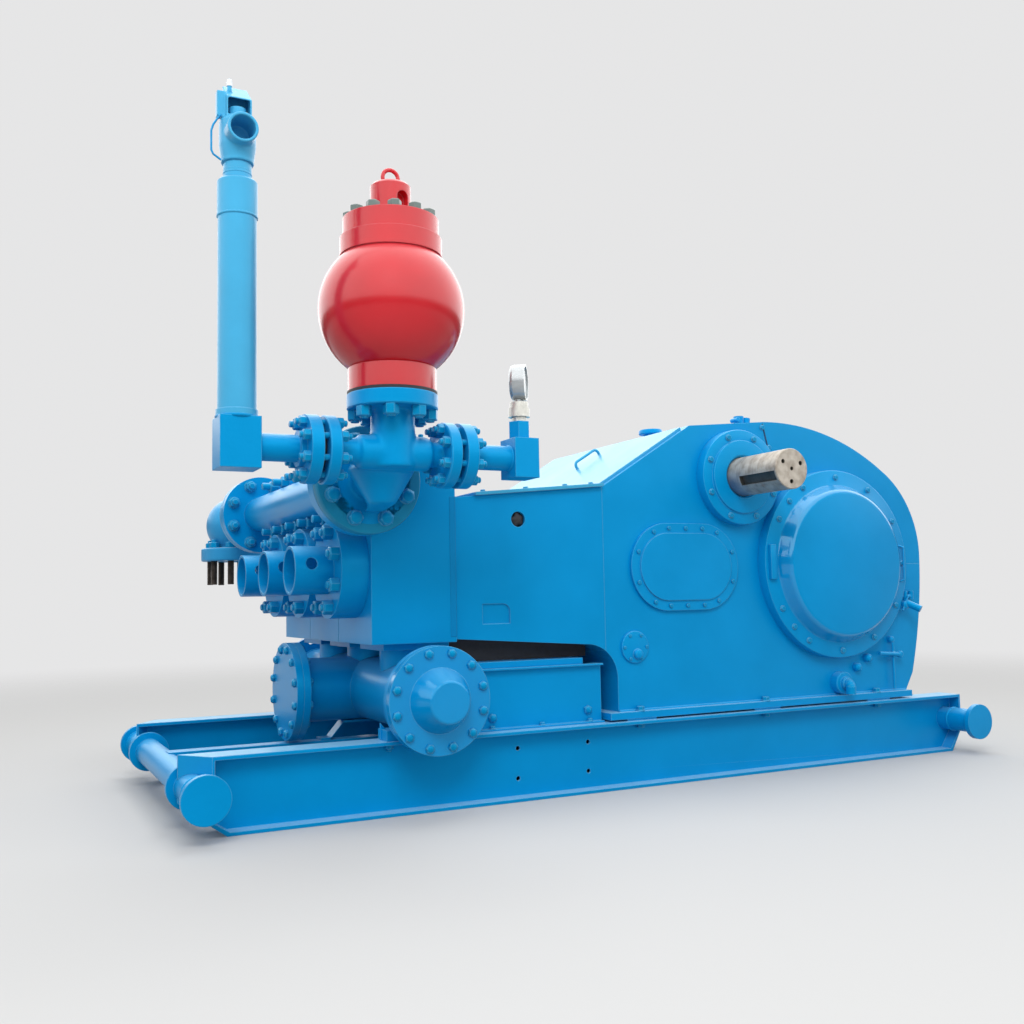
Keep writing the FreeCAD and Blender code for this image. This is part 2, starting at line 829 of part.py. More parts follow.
# Suction manifold: transverse pipe under the modules with its front branch and end flanges.
def suction_manifold():
    near_end = -(suction_face_y - suction_flange_thickness)
    far_end = suction_face_y
    front_end = suction_front_face_x + suction_flange_thickness
    bore = suction_pipe - 2 * suction_wall
    outer = [
        cyl(suction_x, near_end, suction_z, suction_pipe, far_end - near_end, "y"),
        cyl(front_end, 0, suction_z, suction_pipe, suction_x - front_end, "x"),
        cyl(suction_x, near_end, suction_z, suction_flange, suction_flange_thickness, "y"),
        cyl(suction_x, far_end, suction_z, suction_flange, -suction_flange_thickness, "y"),
        cyl(front_end, 0, suction_z, suction_flange, suction_flange_thickness, "x"),
    ]
    body = fuse(outer)
    body = body.cut(cyl(suction_x, near_end, suction_z, bore, far_end - near_end, "y"))
    body = body.cut(cyl(front_end, 0, suction_z, bore, suction_x - front_end, "x"))
    for dx, dz in ring_positions(suction_bolts, suction_pcd, 180.0 / suction_bolts):
        body = body.cut(cyl(suction_x + dx, far_end, suction_z + dz, suction_bolt_hole, -suction_flange_thickness, "y"))
    return body


# Necks from the suction pipe up to a square flange under each module, coped onto the pipes.
def suction_necks():
    cope = suction_pipe + 2 * weld_clearance
    pipe = cyl(suction_x, -far, suction_z, cope, 2 * far, "y")
    branch = cyl(suction_front_face_x, 0, suction_z, cope, suction_x - suction_front_face_x, "x")
    half = neck_flange / 2
    low = module_bottom - neck_flange_thickness
    solids = []
    for y in module_y:
        neck = cyl(suction_x, y, suction_z, suction_neck, low - suction_z, "z").cut(pipe).cut(branch)
        plate = block(suction_x - half, suction_x + half, y - half, y + half, low, module_bottom)
        solids.append(fuse([neck, plate]))
    return Part.makeCompound(solids)


# Domed blind cover on the near end of the suction manifold.
def suction_dome():
    y = -suction_face_y
    flange = cyl(suction_x, y, suction_z, suction_flange, suction_flange_thickness, "y")
    dome = cone(suction_x, y + 1, suction_z, dome_base, dome_flat, -dome_reach - 1, "y")
    rim = [e for e in dome.Edges if e.BoundBox.YLength < 0.01 and e.BoundBox.YMin < y - dome_reach + 1]
    return fuse([flange, dome.makeFillet(12.0, rim)])


# Flat blind cover on the front branch of the suction manifold.
def suction_front_cover():
    return cyl(suction_front_face_x, 0, suction_z, suction_flange, suction_flange_thickness, "x")


# Discharge manifold: heavy pipe with a flange at both ends.
def discharge_manifold():
    near_end = -manifold_face_y
    parts = [
        cyl(manifold_x, near_end, manifold_z, manifold_pipe, manifold_far_face_y - near_end, "y"),
        cyl(manifold_x, near_end, manifold_z, near_flange, near_flange_thickness, "y"),
        cyl(manifold_x, manifold_far_face_y, manifold_z, manifold_flange, -manifold_flange_thickness, "y"),
    ]
    body = fuse(parts)
    return body.cut(cyl(manifold_x, near_end, manifold_z, manifold_bore, manifold_far_face_y - near_end, "y"))


# Saddle flanges that hold the discharge manifold to the modules, coped onto the pipe.
def manifold_saddles():
    pipe = cyl(manifold_x, -far, manifold_z, manifold_pipe + 2 * weld_clearance, 2 * far, "y")
    solids = []
    for y in module_y:
        plate = block(module_upper_front_x - saddle_thickness, module_upper_front_x, y - saddle_length / 2,
                      y + saddle_length / 2, manifold_z - saddle_height / 2, manifold_z + saddle_height / 2)
        neck = block(manifold_x, module_upper_front_x, y - saddle_neck / 2, y + saddle_neck / 2,
                     manifold_z - saddle_neck / 2, manifold_z + saddle_neck / 2)
        solids.append(fuse([plate, neck]).cut(pipe))
    return Part.makeCompound(solids)


def quarter_bend(start, corner_y, radius, diameter, sign_y, sign_z):
    """Quarter bend in the YZ plane from a run along Y to a run along Z."""
    centre = V(start.x, corner_y - sign_y * radius, start.z + sign_z * radius)
    section = Part.Face(Part.Wire(Part.Circle(V(start.x, centre.y, start.z), V(0, 1, 0), diameter / 2).toShape()))
    angle = 90.0 * sign_y * sign_z
    return section.revolve(centre, V(1, 0, 0), angle)


# Elbow on the far end of the discharge manifold, its outlet flange facing down.
def discharge_elbow():
    face = manifold_far_face_y + gasket
    z = manifold_z
    bend = quarter_bend(V(manifold_x, 0, z), elbow_y, elbow_radius, elbow_barrel, 1, -1)
    parts = [
        cyl(manifold_x, face, z, manifold_flange, manifold_flange_thickness, "y"),
        cyl(manifold_x, face, z, elbow_barrel, elbow_y - elbow_radius - face, "y"),
        bend,
        Part.makeSphere(elbow_bulb / 2, V(manifold_x, elbow_y, z - elbow_bulb_drop)),
        cyl(manifold_x, elbow_y, elbow_flange_top, elbow_flange, -elbow_flange_thickness, "z"),
    ]
    drop = z - elbow_radius - elbow_flange_top
    if drop > 0.01:
        parts.append(cyl(manifold_x, elbow_y, elbow_flange_top, elbow_barrel, drop, "z"))
    body = fuse(parts)
    outlet = elbow_flange_top - elbow_flange_thickness
    bore_bend = quarter_bend(V(manifold_x, 0, z), elbow_y, elbow_radius, manifold_bore, 1, -1)
    body = body.cut(cyl(manifold_x, face, z, manifold_bore, elbow_y - elbow_radius - face, "y"))
    body = body.cut(bore_bend)
    return body.cut(cyl(manifold_x, elbow_y, outlet, manifold_bore, z - elbow_radius - outlet, "z"))


# Studs hanging from the elbow's outlet flange.
def elbow_studs():
    top = elbow_flange_top - elbow_flange_thickness
    solids = []
    for dx, dy in ring_positions(stud_count, elbow_pcd, 180.0 / stud_count):
        solids.append(cyl(manifold_x + dx, elbow_y + dy, top, stud_diameter, -stud_reach, "z"))
    return Part.makeCompound(solids)


# Discharge cross: bend from the near manifold flange up to the dampener, with two side branches and
# a forged belly under them that tapers down to the flange.
def discharge_cross():
    face = -manifold_face_y - gasket
    bend = quarter_bend(V(riser_x, 0, manifold_z), riser_y, riser_bend, riser_pipe, -1, 1)
    top = dampener_low
    bend_start = riser_y + riser_bend
    parts = [
        cyl(riser_x, face, manifold_z, near_flange, -cross_flange_thickness, "y"),
        cyl(riser_x, face, manifold_z, riser_pipe, bend_start - face, "y"),
        bend,
        cone(riser_x, belly_y, belly_low, belly_tip, belly_width, belly_high - belly_low, "z"),
        cone(riser_x, belly_y, belly_high, belly_width, riser_body, belly_shoulder, "z"),
        cyl(riser_x, riser_y, dampener_low, dampener_flange, dampener_flange_height, "z"),
    ]
    reach = branch_gap / 2
    left_face = riser_x - left_pair + reach
    right_face = riser_x + right_pair - reach
    parts += [
        cyl(left_face, riser_y, branch_z, branch_pipe, right_face - left_face, "x"),
        cyl(riser_x - riser_boss_reach, riser_y, branch_z, branch_boss, 2 * riser_boss_reach, "x"),
        cyl(riser_x, riser_y, riser_body_low, riser_body, top - riser_body_low, "z"),
        cyl(left_face, riser_y, branch_z, branch_flange, branch_flange_thickness, "x"),
        cyl(right_face, riser_y, branch_z, branch_flange, -branch_flange_thickness, "x"),
    ]
    return fuse(parts)


# Left branch: flanged stub into the block elbow that carries the relief stand.
def relief_branch():
    face = riser_x - left_pair - branch_gap / 2
    middle = branch_z + left_block_rise
    body = block(left_block_x - left_block / 2, left_block_x + left_block / 2, riser_y - left_block_depth / 2,
                 riser_y + left_block_depth / 2, middle - left_block_height / 2, middle + left_block_height / 2)
    parts = [
        body,
        cyl(face, riser_y, branch_z, branch_flange, -branch_flange_thickness, "x"),
        cyl(left_block_x, riser_y, branch_z, branch_pipe, face - left_block_x, "x"),
        cyl(face - branch_flange_thickness, riser_y, branch_z, branch_boss, -branch_hub, "x"),
    ]
    return fuse(parts)


# Right branch: flanged stub into the block that carries the gauge.
def gauge_branch():
    face = riser_x + right_pair + branch_gap / 2
    body = block(right_block_x - right_block / 2, right_block_x + right_block / 2, riser_y - right_block_depth / 2,
                 riser_y + right_block_depth / 2, branch_z - right_block_height / 2, branch_z + right_block_height / 2)
    parts = [
        body,
        cyl(face, riser_y, branch_z, branch_flange, branch_flange_thickness, "x"),
        cyl(face, riser_y, branch_z, branch_pipe, right_block_x - face, "x"),
        cyl(face + branch_flange_thickness, riser_y, branch_z, branch_boss, branch_hub, "x"),
    ]
    return fuse(parts)


# Stand pipe with its weld collar.
def stand_pipe_shape():
    low = branch_z + left_block_rise + left_block_height / 2
    parts = [
        cyl(left_block_x, riser_y, low, stand_pipe, stand_top - low, "z"),
        cyl(left_block_x, riser_y, low, weld_collar, weld_collar_height, "z"),
    ]
    return fuse(parts)


# Threaded coupling at the top of the stand pipe.
def stand_coupling():
    body = cyl(left_block_x, riser_y, stand_top, coupling, coupling_height, "z")
    rim = [e for e in body.Edges if e.BoundBox.ZMin > coupling_top - 1]
    body = body.makeChamfer(coupling_chamfer, rim)
    neck = cyl(left_block_x, riser_y, coupling_top, relief_neck, relief_neck_top - coupling_top, "z")
    return fuse([body, neck])


def extrude_x(points, x0, x1):
    """Solid from a closed outline of (y, z) corners."""
    corners = [V(x0, y, z) for y, z in points]
    return Part.Face(Part.makePolygon(corners + corners[:1])).extrude(V(x1 - x0, 0, 0))


# Relief valve: upright body on a screwed neck, its round outlet towards the shown side, an open-fronted
# trip box with a slanting roof on top and the latch block beside it.
def relief_valve():
    x, y, top = left_block_x, riser_y, relief_top
    flare_low = relief_neck_top + relief_skirt_height
    straight_low = flare_low + relief_flare
    shoulder_low = top - relief_shoulder
    parts = [
        cyl(x, y, relief_neck_top, relief_skirt, relief_skirt_height, "z"),
        cone(x, y, flare_low, relief_skirt, relief_body, relief_flare, "z"),
        cyl(x, y, straight_low, relief_body, shoulder_low - straight_low, "z"),
        cone(x, y, shoulder_low, relief_body, relief_neck, relief_shoulder, "z"),
        cyl(x, y, relief_outlet_z, relief_outlet, -relief_outlet_reach, "y"),
    ]
    body = fuse(parts)
    body = body.cut(cyl(x, y - relief_outlet_reach, relief_outlet_z, relief_outlet_bore, relief_outlet_reach, "y"))

    half, wall = relief_box_width / 2, relief_box_wall
    low = top - wall
    front, back = y - relief_box_front, y + relief_box_back
    roof_front, roof_back = top + relief_box_height, top + relief_box_height + relief_box_slope
    box = extrude_x([(front, low), (back, low), (back, roof_back), (front, roof_front)], x - half, x + half)
    room = extrude_x([(front - 1, top), (back - wall, top), (back - wall, roof_back - 2 * wall),
                      (front - 1, roof_front - wall)], x - half + wall, x + half - wall)
    trip = cyl(x, y, low, relief_trip, relief_trip_height + wall, "z")
    latch = block(x - latch_reach, x - half + 1, y - latch_width / 2, y + latch_width / 2, low, low + latch_height)
    stub_z = roof_front + relief_box_slope / 2
    stub = cyl(x - relief_stub_offset, y, stub_z - wall, relief_stub, relief_stub_height + wall, "z")
    return fuse([body, box.cut(room), trip, latch, stub])


# Hexagon adaptor screwed into the gauge block.
def gauge_adaptor():
    low = branch_z + right_block_height / 2
    return prism(right_block_x, riser_y, low, gauge_hex, gauge_hex_top - low, "z")


# Threaded stub, swivel nut and collar between the adaptor and the gauge.
def gauge_nut_shape():
    x, y = right_block_x, riser_y
    return fuse([
        cyl(x, y, gauge_hex_top, gauge_thread, gauge_nut_low - gauge_hex_top + 1, "z"),
        cyl(x, y, gauge_nut_low, gauge_nut, gauge_nut_top - gauge_nut_low, "z"),
        cyl(x, y, gauge_nut_top, gauge_collar, gauge_collar_top - gauge_nut_top, "z"),
    ])


# Pressure gauge: drum with a rounded back, its dial facing along +X and turned a little to the shown side.
def pressure_gauge():
    x, y, z = right_block_x, riser_y, gauge_z
    half = gauge_thickness / 2
    drum = cyl(x - half, y, z, gauge_diameter, gauge_thickness, "x")
    back = [e for e in drum.Edges if e.BoundBox.XMax < x - half + 1]
    drum = drum.makeFillet(gauge_back_round, back)
    recess = cyl(x + half - gauge_recess, y, z, gauge_diameter - 2 * gauge_rim, gauge_recess, "x")
    stem = cyl(x, y, gauge_collar_top, gauge_neck, z - gauge_collar_top, "z")
    gauge = fuse([drum.cut(recess), stem])
    gauge.rotate(V(x, y, z), V(0, 0, 1), gauge_turn)
    return gauge


# Pulsation dampener shell: neck, sphere and collar turned as one body.
def dampener_shell():
    low = dampener_low + dampener_flange_height + gasket
    x, y = riser_x, riser_y
    sphere = Part.makeSphere(dampener_sphere / 2, V(x, y, dampener_sphere_z))
    parts = [
        cyl(x, y, low, dampener_neck, dampener_neck_top - low, "z"),
        cyl(x, y, dampener_neck_top, dampener_throat, dampener_sphere_z - dampener_neck_top, "z"),
        sphere,
        cyl(x, y, dampener_sphere_z, collar_throat, collar_low - dampener_sphere_z, "z"),
        cyl(x, y, collar_low, collar_diameter, collar_top - collar_low, "z"),
    ]
    return fuse(parts).cut(block(-far, far, -far, far, collar_top, far))


# Gaskets of the dampener and the two manifold joints, and the ring in each branch flange pair.
def flange_gaskets():
    z = dampener_low + dampener_flange_height
    face_ring = manifold_flange - 60.0
    solids = [
        cyl(riser_x, riser_y, z, dampener_neck, gasket, "z"),
    ]
    for y in (-manifold_face_y - gasket, manifold_far_face_y):
        ring = cyl(manifold_x, y, manifold_z, face_ring, gasket, "y")
        solids.append(ring.cut(cyl(manifold_x, y, manifold_z, manifold_bore, gasket, "y")))
    for x in (riser_x - left_pair, riser_x + right_pair):
        ring = cyl(x - branch_gap / 2, riser_y, branch_z, branch_ring, branch_gap, "x")
        solids.append(ring.cut(cyl(x - branch_gap / 2, riser_y, branch_z, branch_pipe, branch_gap, "x")))
    return Part.makeCompound(solids)


# Dampener top cover: bolted plate and a hub with an arched window in its side, under a bow-shaped eye.
def dampener_cap():
    x, y = riser_x, riser_y
    eye_z = hub_top + eye_height / 2 - 4
    eye = Part.makeTorus(eye_height / 2 - eye_bar / 2 + 4, eye_bar / 2, V(x, y, eye_z), V(0, 1, 0))
    hub = cyl(x, y, cap_top, hub_diameter, hub_top - cap_top, "z")
    rim = [e for e in hub.Edges if e.BoundBox.ZMin > hub_top - 1]
    hub = hub.makeChamfer(hub_chamfer / 2, rim)
    half = hub_window_width / 2
    arch_z = hub_window_low + hub_window_height - half
    deep = hub_diameter * 0.3
    window = block(x + deep, x + hub_diameter, y - half, y + half, hub_window_low, arch_z)
    window = window.fuse(cyl(x + deep, y, arch_z, hub_window_width, hub_diameter - deep, "x"))
    window.rotate(V(x, y, 0), V(0, 0, 1), hub_window_turn)
    plate = cyl(x, y, collar_top, cap_diameter, cap_top - collar_top, "z")
    return fuse([plate, hub.cut(window), eye])


# Top fittings: breather cap, lifting lug and small pad.
def case_top_z(x):
    """Height of the flat or rounded top of the gear case over a given x."""
    if x <= seam_x:
        return slope_top_z + (seam_z - slope_top_z) * (x - slope_top_x) / (seam_x - slope_top_x)
    probe = power_end.common(block(x, x + 1, -1, 1, seam_level, far))
    return probe.BoundBox.ZMax


def breather():
    z = case_top_z(breather_x - breather_diameter / 2) - 4
    stem = cyl(breather_x, breather_y, z, breather_diameter * 0.7, breather_height * 0.5, "z")
    cap = cyl(breather_x, breather_y, z + breather_height * 0.4, breather_diameter, breather_height * 0.6, "z")
    return fuse([stem, cap]).cut(power_end)


def lifting_lugs():
    z = case_top_z(lug_x - lug_length / 2) - 4
    foot = block(lug_x - lug_length / 2, lug_x + lug_length / 2, lug_y - 40, lug_y + 40, z, z + 20)
    cheek = block(lug_x - lug_length / 2 + 10, lug_x + lug_length / 2 - 10, lug_y - 10, lug_y + 10, z, z + lug_height)
    pad_low = case_top_z(pad_x + pad_size / 2) - 2
    pad = block(pad_x - pad_size / 2, pad_x + pad_size / 2, pad_y - pad_size / 2, pad_y + pad_size / 2,
                pad_low, pad_low + 22)
    return Part.makeCompound([fuse([foot, cheek]).cut(power_end), pad.cut(power_end)])


# Spray tank: open-topped plate box on the skid under the crosshead housing.
def spray_tank():
    low = beam_depth
    outer = block(tank_front_x, tank_rear_x, -tank_half_width, tank_half_width, low, tank_top)
    inner = block(tank_front_x + tank_wall, tank_rear_x - tank_wall, -tank_half_width + tank_wall,
                  tank_half_width - tank_wall, low + tank_wall, tank_top + 1)
    lip = block(tank_front_x - tank_lip, tank_rear_x, -tank_half_width - tank_lip, tank_half_width + tank_lip,
                tank_top - tank_wall, tank_top)
    foot = block(tank_front_x - tank_lip, tank_rear_x, -tank_half_width - tank_lip, tank_half_width + tank_lip,
                 low, low + tank_wall)
    return fuse([outer, lip, foot]).cut(inner)


# Folded lid standing on the rim of the tank walls.
def tank_lid():
    outer = block(tank_front_x, tank_lid_rear_x, -tank_half_width, tank_half_width,
                  tank_top, tank_top + tank_lid_height)
    inner = block(tank_front_x + tank_wall, tank_lid_rear_x - tank_wall, -tank_half_width + tank_wall,
                  tank_half_width - tank_wall, tank_top - 1, tank_top + tank_lid_height - tank_wall)
    return outer.cut(inner)


def build():
    nodes = {
        "skid_beam_near": skid_beam(-1),
        "skid_beam_far": skid_beam(1),
        "skid_end_pipe_front": skid_end_pipe(-end_pipe_x),
        "skid_end_pipe_rear": skid_end_pipe(end_pipe_x),
        "centre_rail": centre_rail(),
        "suction_saddles": suction_saddles(),
        "spray_tank": spray_tank(),
        "tank_lid": tank_lid(),
        "crosshead_housing": crosshead_housing(),
        "crosshead_cover": crosshead_cover(),
        "gear_case": gear_case(),
        "rear_cover": rear_cover(),
        "slope_cover": slope_cover(),
        "case_base": case_base(),
        "hold_down_bolts": hold_down_bolts(),
        "crank_cover_near": crank_cover(),
        "crank_cover_far": mirrored_y(crank_cover()),
        "pinion_cover_near": pinion_cover(),
        "pinion_cover_far": mirrored_y(pinion_cover()),
        "pinion_shaft": pinion_shaft(),
        "inspection_cover_near": inspection_cover(),
        "inspection_cover_far": mirrored_y(inspection_cover()),
        "round_covers": round_covers(),
        "oil_fittings": oil_fittings(),
        "breather": breather(),
        "lifting_lugs": lifting_lugs(),
        "valve_covers": valve_covers(),
        "suction_manifold": suction_manifold(),
        "suction_necks": suction_necks(),
        "suction_dome_cover": suction_dome(),
        "suction_front_cover": suction_front_cover(),
        "discharge_manifold": discharge_manifold(),
        "manifold_saddles": manifold_saddles(),
        "discharge_elbow": discharge_elbow(),
        "elbow_studs": elbow_studs(),
        "discharge_cross": discharge_cross(),
        "relief_branch": relief_branch(),
        "gauge_branch": gauge_branch(),
        "flange_gaskets": flange_gaskets(),
        "stand_pipe": stand_pipe_shape(),
        "stand_coupling": stand_coupling(),
        "relief_valve": relief_valve(),
        "gauge_adaptor": gauge_adaptor(),
        "gauge_fitting": gauge_nut_shape(),
        "pressure_gauge": pressure_gauge(),
        "dampener_shell": dampener_shell(),
        "dampener_cap": dampener_cap(),
    }
    member_places = cross_member_x + (skid_half_length - rear_member_inset,)
    for name, x in zip(("front", "middle", "rear"), member_places):
        nodes["cross_member_" + name] = cross_member(x)
    for name, y in zip(("near", "middle", "far"), module_y):
        nodes["fluid_module_" + name] = fluid_module(y)
        nodes["cylinder_head_" + name] = cylinder_head(y)
    return nodes


os.makedirs("parts", exist_ok=True)
for node, shape in build().items():
    shape.exportStep("parts/" + node + ".step")
    print(node, len(shape.Solids), round(shape.Volume / 1e6, 2), shape.isValid())
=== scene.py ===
import math

import bmesh
import bpy
from mathutils import Matrix, Vector


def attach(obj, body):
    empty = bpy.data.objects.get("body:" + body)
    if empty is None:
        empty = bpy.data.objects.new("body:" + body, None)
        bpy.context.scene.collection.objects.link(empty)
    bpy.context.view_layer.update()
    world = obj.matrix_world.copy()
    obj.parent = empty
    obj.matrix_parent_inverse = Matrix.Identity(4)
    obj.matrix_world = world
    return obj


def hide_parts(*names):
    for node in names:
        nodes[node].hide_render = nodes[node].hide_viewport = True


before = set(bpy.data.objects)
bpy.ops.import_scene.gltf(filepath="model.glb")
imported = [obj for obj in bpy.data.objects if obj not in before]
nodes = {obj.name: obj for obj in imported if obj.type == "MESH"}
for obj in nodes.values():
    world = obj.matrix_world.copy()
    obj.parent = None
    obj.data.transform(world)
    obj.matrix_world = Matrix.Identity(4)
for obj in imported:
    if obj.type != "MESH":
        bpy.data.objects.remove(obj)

# The pump as packed, at real size in metres: X runs from the fluid end to the power end, Y away from
# the shown side and Z up from the underside of the skid. Every new part below bolts or welds onto it.
scene = bpy.context.scene
for leftover in ("Cube", "Light", "Camera"):
    if leftover in bpy.data.objects:
        bpy.data.objects.remove(bpy.data.objects[leftover])
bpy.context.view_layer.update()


# Camera: an ordinary lens of about 37 mm, low in front of the fluid end. It looks slightly upwards and
# is held almost level.
stand = Vector((-2.55653, -4.48478, 0.82115))
turn, tilt, roll = 0.469341, 0.0804795, -0.0189905
ahead = Vector((math.sin(turn) * math.cos(tilt), math.cos(turn) * math.cos(tilt), math.sin(tilt)))
level = Vector((math.cos(turn), -math.sin(turn), 0))
above = level.cross(ahead)
across_view = level * math.cos(roll) + above * math.sin(roll)
up_view = above * math.cos(roll) - level * math.sin(roll)
camera_data = bpy.data.cameras.new("camera")
camera_data.lens = 36.82
camera_data.sensor_width = 36
camera = bpy.data.objects.new("camera", camera_data)
facing = Matrix((across_view, up_view, -ahead)).transposed().to_4x4()
camera.matrix_world = Matrix.Translation(stand) @ facing
scene.collection.objects.link(camera)
scene.camera = camera
scene.view_settings.view_transform = "Standard"


# Studio floor: a wide sheet of pale matt paper that takes the soft shadow of the skid and fades out
# into the backdrop before its edge.
def feed(tree, item, sockets):
    """Sets sockets of a node to a value, or links them to the output that feeds them."""
    for name, value in sockets.items():
        if isinstance(value, bpy.types.NodeSocket):
            tree.links.new(value, item.inputs[name])
        else:
            item.inputs[name].default_value = value


def wire(tree, kind, sockets=None, **settings):
    """New shader node with its settings, and its sockets set or fed."""
    item = tree.nodes.new("ShaderNode" + kind)
    for name, value in settings.items():
        setattr(item, name, value)
    feed(tree, item, sockets or {})
    return item


def span(tree, value, start, end, low=0.0, high=1.0, **settings):
    """The run of a value from start to end, drawn out to run from low to high and held past both."""
    drawn = wire(tree, "MapRange", {"Value": value, "From Min": start, "From Max": end,
                                    "To Min": low, "To Max": high}, **settings)
    return drawn.outputs["Result"]


def covered(tree, factor, base, cover):
    """The colour of base, under that of cover as far as the factor says."""
    blend = wire(tree, "Mix", {"Factor": factor, "A": base, "B": cover}, data_type="RGBA")
    return blend.outputs["Result"]


def seen_rays(tree):
    """1 for what the eye sees, straight, in a gloss or through glass, and 0 where light is gathered."""
    rays = wire(tree, "LightPath").outputs
    seen = wire(tree, "Math", {0: rays["Is Camera Ray"], 1: rays["Is Glossy Ray"]},
                operation="ADD", use_clamp=True)
    seen_through = wire(tree, "Math", {0: seen.outputs[0], 1: rays["Is Transmission Ray"]},
                        operation="ADD", use_clamp=True)
    return seen_through.outputs[0]


def new_finish(name, sockets):
    """New material with its shader's sockets set, the node tree of it, and that shader."""
    finish = bpy.data.materials.new(name)
    finish.use_nodes = True
    tree = finish.node_tree
    shader = tree.nodes["Principled BSDF"]
    feed(tree, shader, sockets)
    return finish, tree, shader


floor_reach = 60
fade_start, fade_end = 3.5, 11.0
floor_form = bmesh.new()
bmesh.ops.create_circle(floor_form, cap_ends=True, segments=96, radius=floor_reach)
floor_mesh = bpy.data.meshes.new("floor")
floor_form.to_mesh(floor_mesh)
floor_form.free()
floor = bpy.data.objects.new("floor", floor_mesh)
scene.collection.objects.link(floor)
paper, tree, shader = new_finish("floor_paper", {"Roughness": 1.0, "Specular IOR Level": 0.0})
paper_tone = covered(tree, seen_rays(tree), (0.40, 0.40, 0.40, 1), (0.585, 0.585, 0.58, 1))
where = wire(tree, "TexCoord").outputs["Object"]
away = wire(tree, "VectorMath", {0: where}, operation="LENGTH").outputs["Value"]
fade = span(tree, away, fade_start, fade_end, 1.0, 0.0, interpolation_type="SMOOTHSTEP")
feed(tree, shader, {"Base Color": paper_tone, "Alpha": fade})
floor_mesh.materials.append(paper)


# Studio light: an even pale surround, a large soft lamp high on the left and a weaker one overhead.
# The backdrop that shows to the eye is a little darker than the surround that lights the pump.
surround_seen = 0.79
surround_light = 0.86
pump_middle = Vector((0, 0, 1))
world = bpy.data.worlds.new("studio")
world.use_nodes = True
scene.world = world
sky = world.node_tree
sky.nodes.clear()
lighting = wire(sky, "Background", {"Color": (1, 1, 1, 1), "Strength": surround_light})
backdrop = wire(sky, "Background", {
    "Color": (surround_seen, surround_seen, surround_seen * 1.005, 1), "Strength": 1.0})
either = wire(sky, "MixShader", {0: seen_rays(sky), 1: lighting.outputs[0], 2: backdrop.outputs[0]})
wire(sky, "OutputWorld", {"Surface": either.outputs[0]})
for name, place, size, power in (
    ("lamp_left", (-3.6, -6.5, 6.5), 4.0, 330),
    ("lamp_overhead", (0.6, 0.5, 7.5), 5.0, 200),
):
    lamp_data = bpy.data.lights.new(name, "AREA")
    lamp_data.shape = "DISK"
    lamp_data.size = size
    lamp_data.energy = power
    lamp = bpy.data.objects.new(name, lamp_data)
    lamp.visible_camera = False
    lamp.visible_glossy = False
    aim = pump_middle - Vector(place)
    lamp.matrix_world = Matrix.Translation(place) @ aim.to_track_quat("-Z", "Y").to_matrix().to_4x4()
    scene.collection.objects.link(lamp)


# Sky and skyline: what the gloss of the paint mirrors, a bright overcast sky down to ten degrees over a
# dark skyline, with one tall mast far out on the left. They neither light the pump nor show to the eye.
sky_radius = 18
mast_from, mast_to = 159, 163
surrounds = bmesh.new()
bmesh.ops.create_uvsphere(surrounds, u_segments=180, v_segments=90, radius=sky_radius)
low_faces = [face for face in surrounds.faces if face.calc_center_median().z < 0]
bmesh.ops.delete(surrounds, geom=low_faces, context="FACES")
skyline_slope = math.sin(math.radians(9))
for face in surrounds.faces:
    middle = face.calc_center_median()
    heading = math.degrees(math.atan2(middle.y, middle.x))
    low_or_mast = middle.z / sky_radius < skyline_slope or mast_from < heading < mast_to
    face.material_index = 1 if low_or_mast else 0
surrounds_mesh = bpy.data.meshes.new("sky_and_skyline")
surrounds.to_mesh(surrounds_mesh)
surrounds.free()
for name, tone, strength in (("overcast_sky", 1.0, 2.6), ("dark_skyline", 0.9, 0.08)):
    glow = bpy.data.materials.new(name)
    glow.use_nodes = True
    glow.node_tree.nodes.clear()
    light = wire(glow.node_tree, "Emission", {"Color": (tone, tone, 1, 1), "Strength": strength})
    wire(glow.node_tree, "OutputMaterial", {"Surface": light.outputs[0]})
    surrounds_mesh.materials.append(glow)
sky_and_skyline = bpy.data.objects.new("sky_and_skyline", surrounds_mesh)
sky_and_skyline.location = pump_middle
for kind in ("camera", "diffuse", "shadow", "transmission", "volume_scatter"):
    setattr(sky_and_skyline, "visible_" + kind, False)
scene.collection.objects.link(sky_and_skyline)


# Skid beams: rolled I section, welded and sprayed with the same blue enamel as the rest of the pump.
# The paint is paler on faces that look up, as dust and painted top light, darker in small clouds, and pale on
# its edges as a painted highlight.
blue = (0.0, 0.262, 0.604)
pale_blue = (0.19, 0.55, 0.80)


def shades(tree, factor, low, high):
    """Colour between a low and a high stop, each a place along the factor and a colour."""
    ramp = wire(tree, "ValToRGB", {"Fac": factor})
    for element, (place, colour) in zip(ramp.color_ramp.elements, (low, high)):
        element.position = place
        element.color = (*colour, 1)
    return ramp.outputs["Color"]


